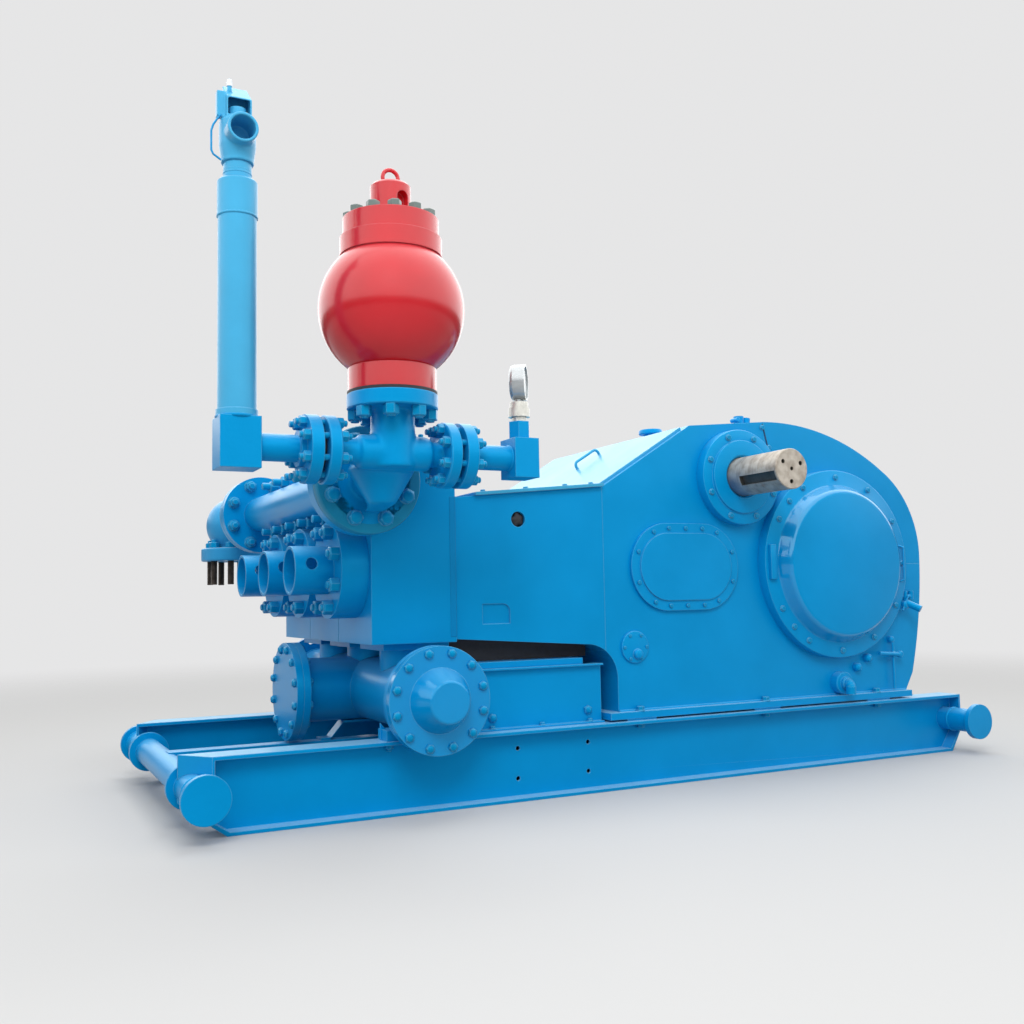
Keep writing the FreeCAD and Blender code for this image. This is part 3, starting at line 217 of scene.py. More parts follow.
def enamel(name, colour, pale, edge=0.45, cloud=0.05, grain=0.05, grain_size=150, gloss=0.30,
           tint_of_gloss=(0.06, 0.75, 1.0), top_dust_and_light=0.32, coat=0.0, coat_roughness=0.03):
    """Sprayed enamel: clouded colour, paler on upward faces as dust and painted top light, a painted highlight
    on its edges, a fine skin in the gloss.
    """
    finish, tree, shader = new_finish(name, {
        "Specular Tint": (*tint_of_gloss, 1), "Coat Weight": coat, "Coat Roughness": coat_roughness})
    where = wire(tree, "TexCoord").outputs["Object"]
    clouds = wire(tree, "TexNoise", {
        "Vector": where, "Scale": 3.1, "Detail": 5, "Roughness": 0.55}).outputs["Fac"]
    dark, light = [tuple(c * change for c in colour) for change in (1 - cloud, 1 + cloud * 0.6)]
    tint = shades(tree, clouds, (0.36, dark), (0.66, light))

    rounded = wire(tree, "Bevel", {"Radius": 0.005}, samples=4).outputs["Normal"]
    flat = wire(tree, "NewGeometry").outputs["Normal"]
    across = wire(tree, "VectorMath", {0: rounded, 1: flat}, operation="DOT_PRODUCT").outputs["Value"]
    # The edges are painted pale, a painted highlight where the rounded normal turns away from the flat one.
    edge_highlighted = covered(tree, span(tree, across, 0.995, 0.80, 0, edge), tint, (*pale, 1))
    # Faces that look up are painted paler, partly dust and partly painted top light.
    upward = wire(tree, "SeparateXYZ", {"Vector": flat}).outputs["Z"]
    dusty_and_top_lit = covered(tree, span(tree, upward, 0.55, 1.0, 0, top_dust_and_light), edge_highlighted, (*pale, 1))

    skin = wire(tree, "TexNoise", {"Vector": where, "Scale": grain_size, "Detail": 3}).outputs["Fac"]
    relief = wire(tree, "Bump", {"Height": skin, "Strength": grain, "Distance": 0.002, "Normal": rounded})
    dull = span(tree, clouds, 0, 1, gloss - 0.07, gloss + 0.12)
    feed(tree, shader, {"Base Color": dusty_and_top_lit, "Normal": relief.outputs["Normal"], "Roughness": dull})
    return finish


def dress(finish, *names):
    """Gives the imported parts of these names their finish."""
    for name in names:
        for place in nodes[name].material_slots:
            place.material = finish


beam_paint = enamel("blue_enamel_beam", blue, (0.34, 0.66, 0.86), edge=0.5, top_dust_and_light=0.72)
dress(beam_paint, "skid_beam_near", "skid_beam_far", "cross_member_front", "cross_member_middle",
      "cross_member_rear")


# Skid end pipes: thick tube through both beams, with plate discs welded over its ends. The bead of
# weld round each disc and at the beam shows as a soft rim under the paint.
def turned(outline, place, out, steps=48):
    """Part turned on a lathe: an outline of (radius, height) pairs spun round an axis through place."""
    form = bmesh.new()
    corners = [form.verts.new((radius, 0, height)) for radius, height in outline]
    edges = [form.edges.new(pair) for pair in zip(corners, corners[1:])]
    bmesh.ops.spin(form, geom=corners + edges, cent=(0, 0, 0), axis=(0, 0, 1), angle=math.tau,
                   steps=steps, use_merge=True)
    bmesh.ops.remove_doubles(form, verts=form.verts, dist=1e-5)
    bmesh.ops.recalc_face_normals(form, faces=form.faces)
    bmesh.ops.transform(form, matrix=aimed(place, out), verts=form.verts)
    return form


def aimed(place, out, spun=0.0):
    """Turns a part made along +Z from the origin to point along out, and moves it to its place."""
    swing = Vector((0, 0, 1)).rotation_difference(Vector(out)).to_matrix().to_4x4()
    return Matrix.Translation(place) @ swing @ Matrix.Rotation(spun, 4, "Z")


def joined(forms):
    """One form from several, which are used up."""
    whole = bmesh.new()
    for form in forms:
        spare = bpy.data.meshes.new("spare")
        form.to_mesh(spare)
        form.free()
        whole.from_mesh(spare)
        bpy.data.meshes.remove(spare)
    return whole


def piece(name, form, finish, body="pump"):
    """Finished part from its form, riding on a body of the pump."""
    mesh = bpy.data.meshes.new(name)
    form.to_mesh(mesh)
    form.free()
    mesh.polygons.foreach_set("use_smooth", [True] * len(mesh.polygons))
    mesh.set_sharp_from_angle(angle=math.radians(35))
    mesh.materials.append(finish)
    item = bpy.data.objects.new(name, mesh)
    scene.collection.objects.link(item)
    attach(item, body)
    return item


def weld_bead(place, out, radius, width, ripples=32, ripple_height=0.012):
    """Bead of weld round a pipe: a ring with the ripples of its passes."""
    half, bedded = width / 2, 0.002
    angles = [math.radians(step) for step in range(-100, 101, 25)]
    arc = [(radius - bedded + half * math.cos(angle), half * math.sin(angle)) for angle in angles]
    form = turned(arc, (0, 0, 0), (0, 0, 1), 96)
    for corner in form.verts:
        swell = 1 + ripple_height * math.sin(ripples * math.atan2(corner.co.y, corner.co.x))
        corner.co.x *= swell
        corner.co.y *= swell
    bmesh.ops.transform(form, matrix=aimed(place, out), verts=form.verts)
    return form


cast_paint = enamel("blue_enamel_cast", blue, pale_blue, grain=0.16, grain_size=90, gloss=0.32)
end_pipe_x, end_pipe_z = 1.871, 0.159
disc_inner_y = 0.812
beam_outer_y = 0.680
dress(cast_paint, "skid_end_pipe_front", "skid_end_pipe_rear")
pipe_welds = [
    weld_bead((x, side * out, end_pipe_z), (0, 1, 0), 0.057, width)
    for x in (-end_pipe_x, end_pipe_x) for side in (-1, 1)
    for out, width in ((disc_inner_y, 0.014), (beam_outer_y, 0.012))
]
piece("end_pipe_welds", joined(pipe_welds), cast_paint)


# Centre rail and suction saddles: bent flat bar on a channel, all in the blue enamel, with a folded
# bracket and its bolt holding the suction pipe down to the beam.
def fasteners(places, across, height, washer=0.0, stud=0.0, reach=0.0, domed=0.0):
    """Hexagon heads or nuts, each on its washer and stopped at a turn of its own, some with a stud end."""
    one = bmesh.new()
    radius = across / math.sqrt(3)
    if washer:
        bmesh.ops.create_cone(one, cap_ends=True, segments=16, radius1=washer / 2, radius2=washer / 2,
                              depth=0.004, matrix=Matrix.Translation((0, 0, 0.001)))
    head = bmesh.ops.create_cone(one, cap_ends=True, segments=6, radius1=radius, radius2=radius,
                                 depth=height, matrix=Matrix.Translation((0, 0, height / 2)))
    rim = {e for v in head["verts"] for e in v.link_edges if all(w.co.z > height * 0.9 for w in e.verts)}
    bmesh.ops.bevel(one, geom=list(rim), offset=across * 0.07, affect="EDGES", segments=1, profile=0.5,
                    material=-1)
    if domed:
        cap = bmesh.ops.create_uvsphere(one, u_segments=12, v_segments=8, radius=across * 0.46)
        bmesh.ops.scale(one, verts=cap["verts"], vec=(1, 1, domed / (across * 0.46)))
        bmesh.ops.translate(one, verts=cap["verts"], vec=(0, 0, height - 0.001))
    if stud:
        middle = Matrix.Translation((0, 0, height + reach / 2 - 0.001))
        end = bmesh.ops.create_cone(one, cap_ends=True, segments=12, radius1=stud / 2, radius2=stud / 2,
                                    depth=reach, matrix=middle)
        tip = {e for v in end["verts"] for e in v.link_edges
               if all(w.co.z > height + reach * 0.9 for w in e.verts)}
        bmesh.ops.bevel(one, geom=list(tip), offset=stud * 0.1, affect="EDGES", segments=1, profile=0.5,
                        material=-1)
    spare = bpy.data.meshes.new("spare")
    one.to_mesh(spare)
    one.free()
    whole = bmesh.new()
    turn_between = 2.4
    for index, (place, out) in enumerate(places):
        before = set(whole.verts)
        whole.from_mesh(spare)
        fresh = [v for v in whole.verts if v not in before]
        bmesh.ops.transform(whole, matrix=aimed(place, out, index * turn_between), verts=fresh)
    bpy.data.meshes.remove(spare)
    return whole


bolt_paint = enamel("blue_enamel_bolts", (0.0, 0.235, 0.50), (0.22, 0.55, 0.78), edge=0.5, grain=0.1)
plate_paint = enamel("blue_enamel_plate", blue, pale_blue)
dress(plate_paint, "centre_rail", "suction_saddles")
front, rear, inner, outer, heel = -1.175, -1.115, -0.600, -0.650, -0.605
flange_top, wall_top = 0.2805, 0.345
bracket = bmesh.new()
for corners in (
    ((front, outer, flange_top), (rear, outer, flange_top),
     (rear, inner, flange_top), (front, inner, flange_top)),
    ((front, heel, wall_top), (front, heel, flange_top), (rear, heel, flange_top)),
):
    bracket.faces.new([bracket.verts.new(corner) for corner in corners])
bmesh.ops.recalc_face_normals(bracket, faces=bracket.faces)
bmesh.ops.solidify(bracket, geom=bracket.faces[:], thickness=0.008)
piece("saddle_bracket", bracket, plate_paint)
piece("saddle_bracket_bolt", fasteners([
    ((-1.150, -0.632, 0.288), (0, 0, 1)),
    ((-1.150, -0.632, 0.266), (0, 0, -1)),
], 0.030, 0.018, washer=0.04, stud=0.018, reach=0.010), bolt_paint)


# Spray tank under the crosshead housing: folded plate with a loose lid, held to the skid by small bolts
# along its turned-out foot, with a plug low at each end of the near side.
dress(plate_paint, "spray_tank", "tank_lid")
piece("tank_foot_bolts", fasteners([
    ((x, side * 0.613, 0.288), (0, 0, 1)) for x in (-0.70, -0.47, -0.24) for side in (-1, 1)
], 0.019, 0.012, washer=0.026), bolt_paint)
piece("tank_plugs", fasteners([
    ((-0.245, -0.600, 0.335), (0, -1, 0)),
    ((-0.695, -0.600, 0.330), (0, -1, 0)),
], 0.034, 0.012, domed=0.010), bolt_paint)


# Power end: gear case, crosshead housing and rear cover, fabricated from thick plate and sprayed blue.
# A weld runs along its foot, dust and painted top light make the base plate and lids paler, and bolts hold it
# to the skid.
dress(plate_paint, "crosshead_housing", "gear_case", "rear_cover")
dress(beam_paint, "case_base")
# The lids' paint is a paler blue, for dust and as painted light on their upward faces.
lid_dust_and_top_light_paint = enamel("blue_enamel_lid_dust_and_top_light", (0.05, 0.34, 0.58), (0.38, 0.66, 0.80), edge=0.5)
dress(lid_dust_and_top_light_paint, "crosshead_cover", "slope_cover")


def bar(start, end, thickness, sides=8):
    """Straight round bar between two points."""
    way = Vector(end) - Vector(start)
    form = bmesh.new()
    bmesh.ops.create_cone(form, cap_ends=True, segments=sides, radius1=thickness / 2, radius2=thickness / 2,
                          depth=way.length, matrix=Matrix.Translation((0, 0, way.length / 2)))
    bmesh.ops.transform(form, matrix=aimed(start, way), verts=form.verts)
    return form


piece("case_foot_welds", joined([
    bar((-0.095, side * 0.619, 0.319), (1.605, side * 0.619, 0.319), 0.014) for side in (-1, 1)
]), cast_paint)
foot_bolts = [
    ((x, side * 0.6375, z), (0, 0, up))
    for z, up in ((0.318, 1), (0.266, -1)) for x in (0.0, 0.692, 1.389) for side in (-1, 1)
]
base_bolts = piece("base_bolts", fasteners(foot_bolts, 0.030, 0.020, washer=0.042), bolt_paint)
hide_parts("hold_down_bolts")


# Seam of the rear cover: an open joint, drawn as a thin bar in painted shade, with small screws along it, and
# the screws of the crosshead lid. A near-black sheet of painted shade hangs from the housing floor round the
# spray tank.
def mottled(name, colour, roughness, metallic=0.0, spread=0.15, spots=45):
    """Small part's finish: a colour broken up by fine spots, which also roughen its surface a little."""
    finish, tree, shader = new_finish(name, {"Metallic": metallic, "Roughness": roughness})
    where = wire(tree, "TexCoord").outputs["Object"]
    noise = wire(tree, "TexNoise", {"Vector": where, "Scale": spots, "Detail": 4}).outputs["Fac"]
    dark, light = [tuple(c * change for c in colour) for change in (1 - spread, 1 + spread)]
    relief = wire(tree, "Bump", {"Height": noise, "Strength": 0.12, "Distance": 0.001})
    feed(tree, shader, {"Base Color": shades(tree, noise, (0.35, dark), (0.65, light)),
                        "Normal": relief.outputs["Normal"]})
    return finish


# The open seam is drawn as near-black bars, painted shade for its dark inside.
gap_shadow = mottled("joint_gap_shade", (0.002, 0.03, 0.09), 0.8)


def slab(low, high, edge=0.0):
    """Rectangular plate between two corners, its edges eased."""
    form = bmesh.new()
    size = Vector(high) - Vector(low)
    bmesh.ops.create_cube(form, size=1, matrix=Matrix.Translation((Vector(low) + Vector(high)) / 2)
                          @ Matrix.Diagonal((*size, 1)))
    if edge:
        bmesh.ops.bevel(form, geom=form.edges[:], offset=edge, affect="EDGES", segments=2, profile=0.5,
                        material=-1)
    return form


case_side_y = 0.620
seam_y = case_side_y - 0.0012
seam_line = ((0.7475, 1.617), (0.782, 1.486), (0.791, 1.263))
seam_gaps = []
seam_screws = []
for side in (-1, 1):
    for (x0, z0), (x1, z1) in zip(seam_line, seam_line[1:]):
        seam_gaps.append(bar((x0, side * seam_y, z0), (x1, side * seam_y, z1), 0.009))
    seam_screws += [((0.781, side * case_side_y, z), (0, side, 0)) for z in (1.505, 1.262)]
    seam_screws.append(((0.745, side * case_side_y, 1.600), (0, side, 0)))
piece("seam_gaps", joined(seam_gaps), gap_shadow)
lid_front_x, lid_front_z, lid_length, lid_rise, screw_stand = -0.860, 1.226, 0.703, 0.064, 0.014
lid_slope = math.atan2(lid_rise, lid_length)
lid_up = Vector((-math.sin(lid_slope), 0, math.cos(lid_slope)))
for x in (-0.72, -0.52, -0.33, -0.20):
    height = lid_front_z + lid_rise * (x - lid_front_x) / lid_length + screw_stand
    for y in (-0.60, -0.30, 0.0, 0.30, 0.60):
        if abs(y) > 0.5 or x in (-0.72, -0.20):
            seam_screws.append(((x, y, height), lid_up))
piece("cover_screws", fasteners(seam_screws, 0.019, 0.010, washer=0.028), bolt_paint)
# One black finish for the rubber parts and for the sheet of painted shade under the housing.
rubber_and_shade_black = mottled("black_rubber_and_shade", (0.006, 0.008, 0.014), 0.6, spread=0.3)
# A near-black sheet in painted shade, under the housing floor and over the spray tank.
shade_sheet_y, half_sheet = 0.500, 0.003
piece("splash_curtain", joined([
    slab((-0.850, side * shade_sheet_y - half_sheet, 0.557), (-0.190, side * shade_sheet_y + half_sheet, 0.662))
    for side in (-1, 1)
]), rubber_and_shade_black)


# Crank bearing covers: a thick bolted flange and a tapered drum, cast in one, machined and sprayed to a
# high gloss on its rim, with eleven bolts, two jacking screws and a raised pad on the flange.
def ring(middle, count, pitch_circle, out, first=None):
    """Bolt places round a pitch circle on a face that looks along out."""
    start = math.pi / count if first is None else math.radians(first)
    places = []
    for index in range(count):
        angle = start + math.tau * index / count
        away, rise = pitch_circle / 2 * math.cos(angle), pitch_circle / 2 * math.sin(angle)
        if out[1]:
            offset = Vector((away, 0, rise))
        elif out[0]:
            offset = Vector((0, away, rise))
        else:
            offset = Vector((away, rise, 0))
        places.append((Vector(middle) + offset, out))
    return places


cover_gloss = enamel("blue_enamel_gloss", blue, pale_blue, edge=0.6, cloud=0.03, grain=0.015, gloss=0.13,
                     tint_of_gloss=(0.25, 0.9, 1.0), coat=0.7, coat_roughness=0.04)
crank_middle = Vector((1.144, 0, 0.951))
crank_flange_y, crank_pitch = 0.673, 0.836
crank_outline = [
    (0, 0), (0.454, 0), (0.454, 0.045), (0.451, 0.051), (0.445, 0.053), (0.384, 0.053), (0.380, 0.055),
    (0.376, 0.061), (0.3735, 0.066), (0.357, 0.096), (0.354, 0.103), (0.348, 0.110), (0.340, 0.115),
    (0.331, 0.117), (0, 0.117),
]
crank_bolts = []
crank_pads = []
for side, node in ((-1, "crank_cover_near"), (1, "crank_cover_far")):
    form = turned(crank_outline, crank_middle + Vector((0, side * case_side_y, 0)), (0, side, 0), 128)
    cover = piece("turned_" + node, form, cover_gloss)
    cover.data.materials.append(plate_paint)
    for panel in cover.data.polygons:
        matt = abs(panel.normal.y) > 0.96 or panel.center.y * side < crank_flange_y + 0.003
        panel.material_index = 1 if matt else 0
    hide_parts(node)
    face = crank_middle + Vector((0, side * crank_flange_y, 0))
    around = ring(face, 12, crank_pitch, (0, side, 0), first=0)
    eighths = ring(face, 8, crank_pitch, (0, side, 0), first=0)
    crank_bolts += around[:6] + around[7:] + [eighths[3], eighths[5]]
    low_y, high_y = sorted((side * 0.671, side * 0.693))
    crank_pads.append(slab((0.710, low_y, 0.878), (0.744, high_y, 1.040), 0.003))
piece("crank_cover_bolts", fasteners(crank_bolts, 0.022, 0.011, washer=0.030), bolt_paint)
piece("crank_cover_pads", joined(crank_pads), cast_paint)


# Pinion bearing covers, bored for the shaft: eight bolts in the thick flange, and a low raised ring.
# The near one carries the thrust and is thicker, so the shaft leaves it further out.
dress(cast_paint, "pinion_cover_far")
pinion_middle = Vector((0.574, 0, 1.352))
pinion_outline = [
    (0.092, 0), (0.221, 0), (0.221, 0.046), (0.219, 0.050), (0.215, 0.052), (0.171, 0.052), (0.170, 0.054),
    (0.170, 0.061), (0.168, 0.064), (0.164, 0.065), (0.101, 0.065), (0.098, 0.062), (0.092, 0.058),
    (0.092, 0),
]
near_cover = piece("turned_pinion_cover", turned(
    pinion_outline, pinion_middle + Vector((0, -case_side_y, 0)), (0, -1, 0), 96), plate_paint)
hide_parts("pinion_cover_near")
near_face_y, far_face_y, far_ring_y = -0.672, 0.642, 0.662
pinion_pitch, ring_pitch = 0.388, 0.276
pinion_bolts = ring(pinion_middle + Vector((0, near_face_y, 0)), 8, pinion_pitch, (0, -1, 0))
pinion_bolts += ring(pinion_middle + Vector((0, far_face_y, 0)), 8, pinion_pitch, (0, 1, 0))
ring_screws = ring(pinion_middle + Vector((0, far_ring_y, 0)), 6, ring_pitch, (0, 1, 0), first=0)
piece("pinion_cover_bolts", fasteners(pinion_bolts, 0.022, 0.011, washer=0.030), bolt_paint)
piece("pinion_ring_screws", fasteners(ring_screws, 0.019, 0.011, washer=0.026), bolt_paint)


# Access holes of the crosshead housing: the torn rubber of a grommet is left in the round hole of each
# side, a flattened lump with an uneven edge.
grommet = bmesh.new()
for side in (-1, 1):
    hole = Vector((-0.565, side * 0.600, 1.140))
    lump = bmesh.ops.create_icosphere(grommet, subdivisions=4, radius=0.034, matrix=Matrix.Translation(hole))
    for corner in lump["verts"]:
        away = corner.co - hole
        lobes = 0.16 * math.sin(5 * math.atan2(away.z, away.x) + side)
        swell = 1 + lobes + 0.10 * math.sin(90 * away.x + 60 * away.z)
        corner.co = hole + Vector((away.x * swell, away.y * 0.4, away.z * swell))
piece("access_hole_grommets", grommet, rubber_and_shade_black)


# Pinion shaft: bare turned steel under a dry film of oil and dust, with a keyway and tapped holes in its end
# for pulling the pulley on, their insides painted dark as shade. Its underside beside the near cover is
# painted dark blue.
def cut(form, cutters):
    """A form with the room of the cutters taken out of it. The forms are used up."""
    parts = []
    for name, solid in (("stock", form), ("cutters", joined(cutters))):
        mesh = bpy.data.meshes.new(name)
        solid.to_mesh(mesh)
        solid.free()
        part = bpy.data.objects.new(name, mesh)
        scene.collection.objects.link(part)
        parts.append(part)
    stock, tool = parts
    milling = stock.modifiers.new("milling", "BOOLEAN")
    milling.operation = "DIFFERENCE"
    milling.solver = "EXACT"
    milling.use_self = True
    milling.object = tool
    finished = bpy.data.meshes.new_from_object(stock.evaluated_get(bpy.context.evaluated_depsgraph_get()))
    whole = bmesh.new()
    whole.from_mesh(finished)
    for part in parts:
        mesh = part.data
        bpy.data.objects.remove(part)
        bpy.data.meshes.remove(mesh)
    bpy.data.meshes.remove(finished)
    return whole


shaft_steel, tree, shader = new_finish("turned_shaft_steel", {
    "Metallic": 0.35, "Specular IOR Level": 0.45, "Roughness": 0.46})
where = wire(tree, "TexCoord").outputs["Object"]
stretched = wire(tree, "Mapping", {"Vector": where, "Scale": (1.2, 120, 1.2)}).outputs["Vector"]
cuts = wire(tree, "TexNoise", {"Vector": stretched, "Scale": 1.6, "Detail": 3}).outputs["Fac"]
smear = wire(tree, "TexNoise", {"Vector": where, "Scale": 26, "Detail": 6}).outputs["Fac"]
film = wire(tree, "Mix", {"Factor": 0.72, "A": cuts, "B": smear}, data_type="FLOAT").outputs["Result"]
bare = shades(tree, film, (0.34, (0.235, 0.200, 0.160)), (0.62, (0.47, 0.43, 0.37)))
place = wire(tree, "SeparateXYZ", {"Vector": where}).outputs
# The shaft's underside beside the near cover is painted dark blue.
near_cover_side = span(tree, place["Y"], -0.80, -0.69, 0, 0.75)
underside = span(tree, place["Z"], 1.385, 1.310)
dark_blue_underside = wire(tree, "Math", {0: near_cover_side, 1: underside}, operation="MULTIPLY").outputs[0]
with_dark_blue_underside = covered(tree, dark_blue_underside, bare, (0.02, 0.14, 0.30, 1))
off_axis = wire(tree, "VectorMath", {0: where, 1: pinion_middle}, operation="SUBTRACT").outputs["Vector"]
across = wire(tree, "VectorMath", {0: off_axis, 1: (1, 0, 1)}, operation="MULTIPLY").outputs["Vector"]
radius = wire(tree, "VectorMath", {0: across}, operation="LENGTH").outputs["Value"]
# The keyway floor and the holes behind the end face are painted near black as painted shade.
sunk = span(tree, radius, 0.0886, 0.0868)
behind_end = span(tree, place["Y"], -1.0005, -0.9995, 0, 0.86)
recess_shade = wire(tree, "Math", {0: sunk, 1: behind_end}, operation="MULTIPLY").outputs[0]
keyed = covered(tree, recess_shade, with_dark_blue_underside, (0.020, 0.026, 0.024, 1))
relief = wire(tree, "Bump", {"Height": cuts, "Strength": 0.25, "Distance": 0.001}).outputs["Normal"]
feed(tree, shader, {"Base Color": keyed, "Normal": relief})
shaft_end, key_angle = 1.005, math.radians(201)
key_width, key_length, key_cut = 0.044, 0.235, 0.060
key_from_end, key_from_axis = 0.1295, 0.101
puller_pitch, puller_turn = 0.112, 27
shaft_stock = turned([
    (0, -0.658), (0.086, -0.658), (0.090, -0.654), (0.090, 0.6635), (0.089, 0.664), (0.089, 0.890),
    (0.0884, 0.8905), (0.0884, 0.893), (0.089, 0.8935), (0.089, 1.001), (0.086, shaft_end), (0, shaft_end),
], pinion_middle, (0, -1, 0), 96)
key_out = Vector((math.cos(key_angle), 0, math.sin(key_angle)))
key_side = Vector((-key_out.z, 0, key_out.x))
key_place = pinion_middle + Vector((0, key_from_end - shaft_end, 0)) + key_out * key_from_axis
key_frame = Matrix((key_side, Vector((0, 1, 0)), key_out)).transposed().to_4x4()
keyway = bmesh.new()
bmesh.ops.create_cube(keyway, size=1, matrix=Matrix.Translation(key_place) @ key_frame
                      @ Matrix.Diagonal((key_width, key_length, key_cut, 1)))
bmesh.ops.recalc_face_normals(keyway, faces=keyway.faces)
end_middle = pinion_middle + Vector((0, -shaft_end, 0))
centre_hole = [(0, -0.020), (0.009, -0.014), (0.009, 0.004), (0, 0.004)]
tapped_hole = [(0, -0.028), (0.010, -0.028), (0.010, 0.004), (0, 0.004)]
end_holes = [keyway, turned(centre_hole, end_middle, (0, -1, 0), 24)]
for spot, out in ring(end_middle, 3, puller_pitch, (0, -1, 0), first=puller_turn):
    end_holes.append(turned(tapped_hole, spot, out, 24))
shaft = piece("keyed_shaft", cut(shaft_stock, end_holes), shaft_steel, "pinion")
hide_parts("pinion_shaft")


# Oval inspection covers: flat castings with a raised flat middle, one in each side of the gear case,
# sprayed together with it and held by fourteen small bolts each.
dress(cast_paint, "inspection_cover_near", "inspection_cover_far")
oval_middle, oval_end, oval_pitch = Vector((0.268, 0, 0.940)), 0.0975, 0.1725
oval_bolts = []
for side in (-1, 1):
    face = oval_middle + Vector((0, side * 0.636, 0))
    for away in (-0.092, 0, 0.092):
        for rise in (-oval_pitch, oval_pitch):
            oval_bolts.append((face + Vector((away, 0, rise)), (0, side, 0)))
    for end in (-1, 1):
        for angle in (-64, -23, 23, 64):
            swing = math.radians(angle)
            along = end * (oval_end + oval_pitch * math.cos(swing))
            oval_bolts.append((face + Vector((along, 0, oval_pitch * math.sin(swing))), (0, side, 0)))
piece("oval_cover_bolts", fasteners(oval_bolts, 0.016, 0.009), bolt_paint)


# Small fittings of the case: lifting lug and pad on top, round covers with a button, drain elbow, plugs,
# cock, dipstick, bar handle over its long rod, and a flat breather cap, all sprayed in place.
def bent_bar(points, thickness, sides=10):
    """Round bar through a few points, with a ball at each bend."""
    forms = [bar(start, end, thickness, sides) for start, end in zip(points, points[1:])]
    for point in points[1:-1]:
        knee = bmesh.new()
        bmesh.ops.create_uvsphere(knee, u_segments=sides, v_segments=6, radius=thickness / 2,
                                  matrix=Matrix.Translation(point))
        forms.append(knee)
    return joined(forms)


pad_front, pad_slope = 0.940, 0.16
pad = slab((pad_front, -0.600, 1.592), (1.052, -0.520, 1.6250), 0.003)
for corner in pad.verts:
    corner.co.z -= pad_slope * (corner.co.x - pad_front)
lug_parts = [
    slab((0.690, -0.520, 1.600), (0.800, -0.440, 1.632), 0.004),
    bar((0.722, -0.480, 1.622), (0.722, -0.480, 1.674), 0.050, 20),
    bar((0.764, -0.480, 1.622), (0.768, -0.480, 1.668), 0.040, 20),
    bar((0.700, -0.505, 1.655), (0.700, -0.455, 1.655), 0.022, 14),
    pad,
]
lug_group = piece("lifting_lug_and_pad", joined(lug_parts), cast_paint)
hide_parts("lifting_lugs")
round_outline = [(0, 0), (0.070, 0), (0.070, 0.008), (0.068, 0.011), (0.064, 0.012), (0, 0.012)]
button_outline = [(0, 0), (0.022, 0), (0.022, 0.014), (0.017, 0.021), (0.008, 0.024), (0, 0.024)]
round_x, round_z, round_pitch = -0.012, 0.592, 0.114
covers = []
round_screws = []
for side in (-1, 1):
    covers.append(turned(round_outline, (round_x, side * case_side_y, round_z), (0, side, 0)))
    covers.append(turned(button_outline, (-0.004, side * 0.630, 0.562), (0, side, 0), 24))
    round_screws += ring((round_x, side * 0.632, round_z), 6, round_pitch, (0, side, 0), first=0)
round_pair = piece("turned_round_covers", joined(covers), cast_paint)
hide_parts("round_covers")
piece("round_cover_screws", fasteners(round_screws, 0.012, 0.006), bolt_paint)

drain = turned([
    (0, 0), (0.053, 0), (0.053, 0.040), (0.050, 0.044), (0.030, 0.045), (0.030, 0.060), (0, 0.060),
], (1.160, -case_side_y, 0.3765), (0, -1, 0))
drain_elbow = bent_bar([(1.160, -0.670, 0.3765), (1.160, -0.692, 0.374), (1.160, -0.700, 0.362),
                        (1.160, -0.700, 0.3265)], 0.048, 20)
plug_outline = [(0, 0), (0.021, 0), (0.021, 0.018), (0.018, 0.026), (0.011, 0.031), (0, 0.033)]
plugs = [turned(plug_outline, (x, -case_side_y, z), (0, -1, 0), 24)
         for x, z in ((1.275, 0.445), (1.346, 0.487))]
cock_outline = [(0, 0), (0.026, 0), (0.026, 0.020), (0.020, 0.024), (0.020, 0.052), (0.013, 0.058),
                (0, 0.060)]
cock_parts = [turned(cock_outline, (1.585, -case_side_y, 0.742), (0, -1, 0), 24)]
for start, end, thickness, sides in (
    ((1.565, -0.640, 0.715), (1.565, -0.640, 0.800), 0.024, 14),
    ((1.602, -0.650, 0.745), (1.602, -0.650, 0.812), 0.022, 14),
    ((1.652, -0.640, 0.770), (1.652, -0.640, 0.812), 0.026, 14),
    ((1.580, -0.640, 0.785), (1.660, -0.640, 0.785), 0.018, 12),
    ((1.560, -0.668, 0.715), (1.603, -0.668, 0.785), 0.010, 8),
    ((1.590, -0.668, 0.752), (1.624, -0.725, 0.720), 0.034, 16),
):
    cock_parts.append(bar(start, end, thickness, sides))
dipstick = bent_bar([
    (1.543, -0.672, 1.040), (1.565, -0.686, 1.030), (1.562, -0.686, 0.868), (1.548, -0.672, 0.860)], 0.010)
rod_x = 1.505
grip_outline = [(0, 0), (0.017, 0), (0.017, 0.012), (0.012, 0.018), (0, 0.020)]
knob_outline = [(0, 0), (0.016, 0), (0.016, 0.020), (0.010, 0.028), (0, 0.030)]
handle = [
    bar((1.402, -0.655, 0.508), (1.547, -0.655, 0.497), 0.020, 12),
    turned(grip_outline, (1.542, -0.648, 0.498), (0, -1, 0), 20),
    bar((rod_x, -0.645, 0.330), (rod_x, -0.645, 0.560), 0.013, 12),
    turned(knob_outline, (rod_x + 0.002, -case_side_y, 0.572), (0, -1, 0), 20),
    bar((rod_x, -case_side_y, 0.503), (rod_x, -0.655, 0.503), 0.022, 12),
]
low_parts = [drain, drain_elbow, dipstick] + plugs + cock_parts + handle
low_fittings = piece("low_fittings", joined(low_parts), cast_paint)
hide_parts("oil_fittings")
breather_cap = piece("breather_cap", turned([
    (0, 0), (0.034, 0), (0.034, 0.024), (0.056, 0.026), (0.059, 0.030), (0.059, 0.044), (0.055, 0.050),
    (0, 0.053),
], (0.452, -0.120, 1.597), (-0.02, 0, 1)), cast_paint)
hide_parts("breather")


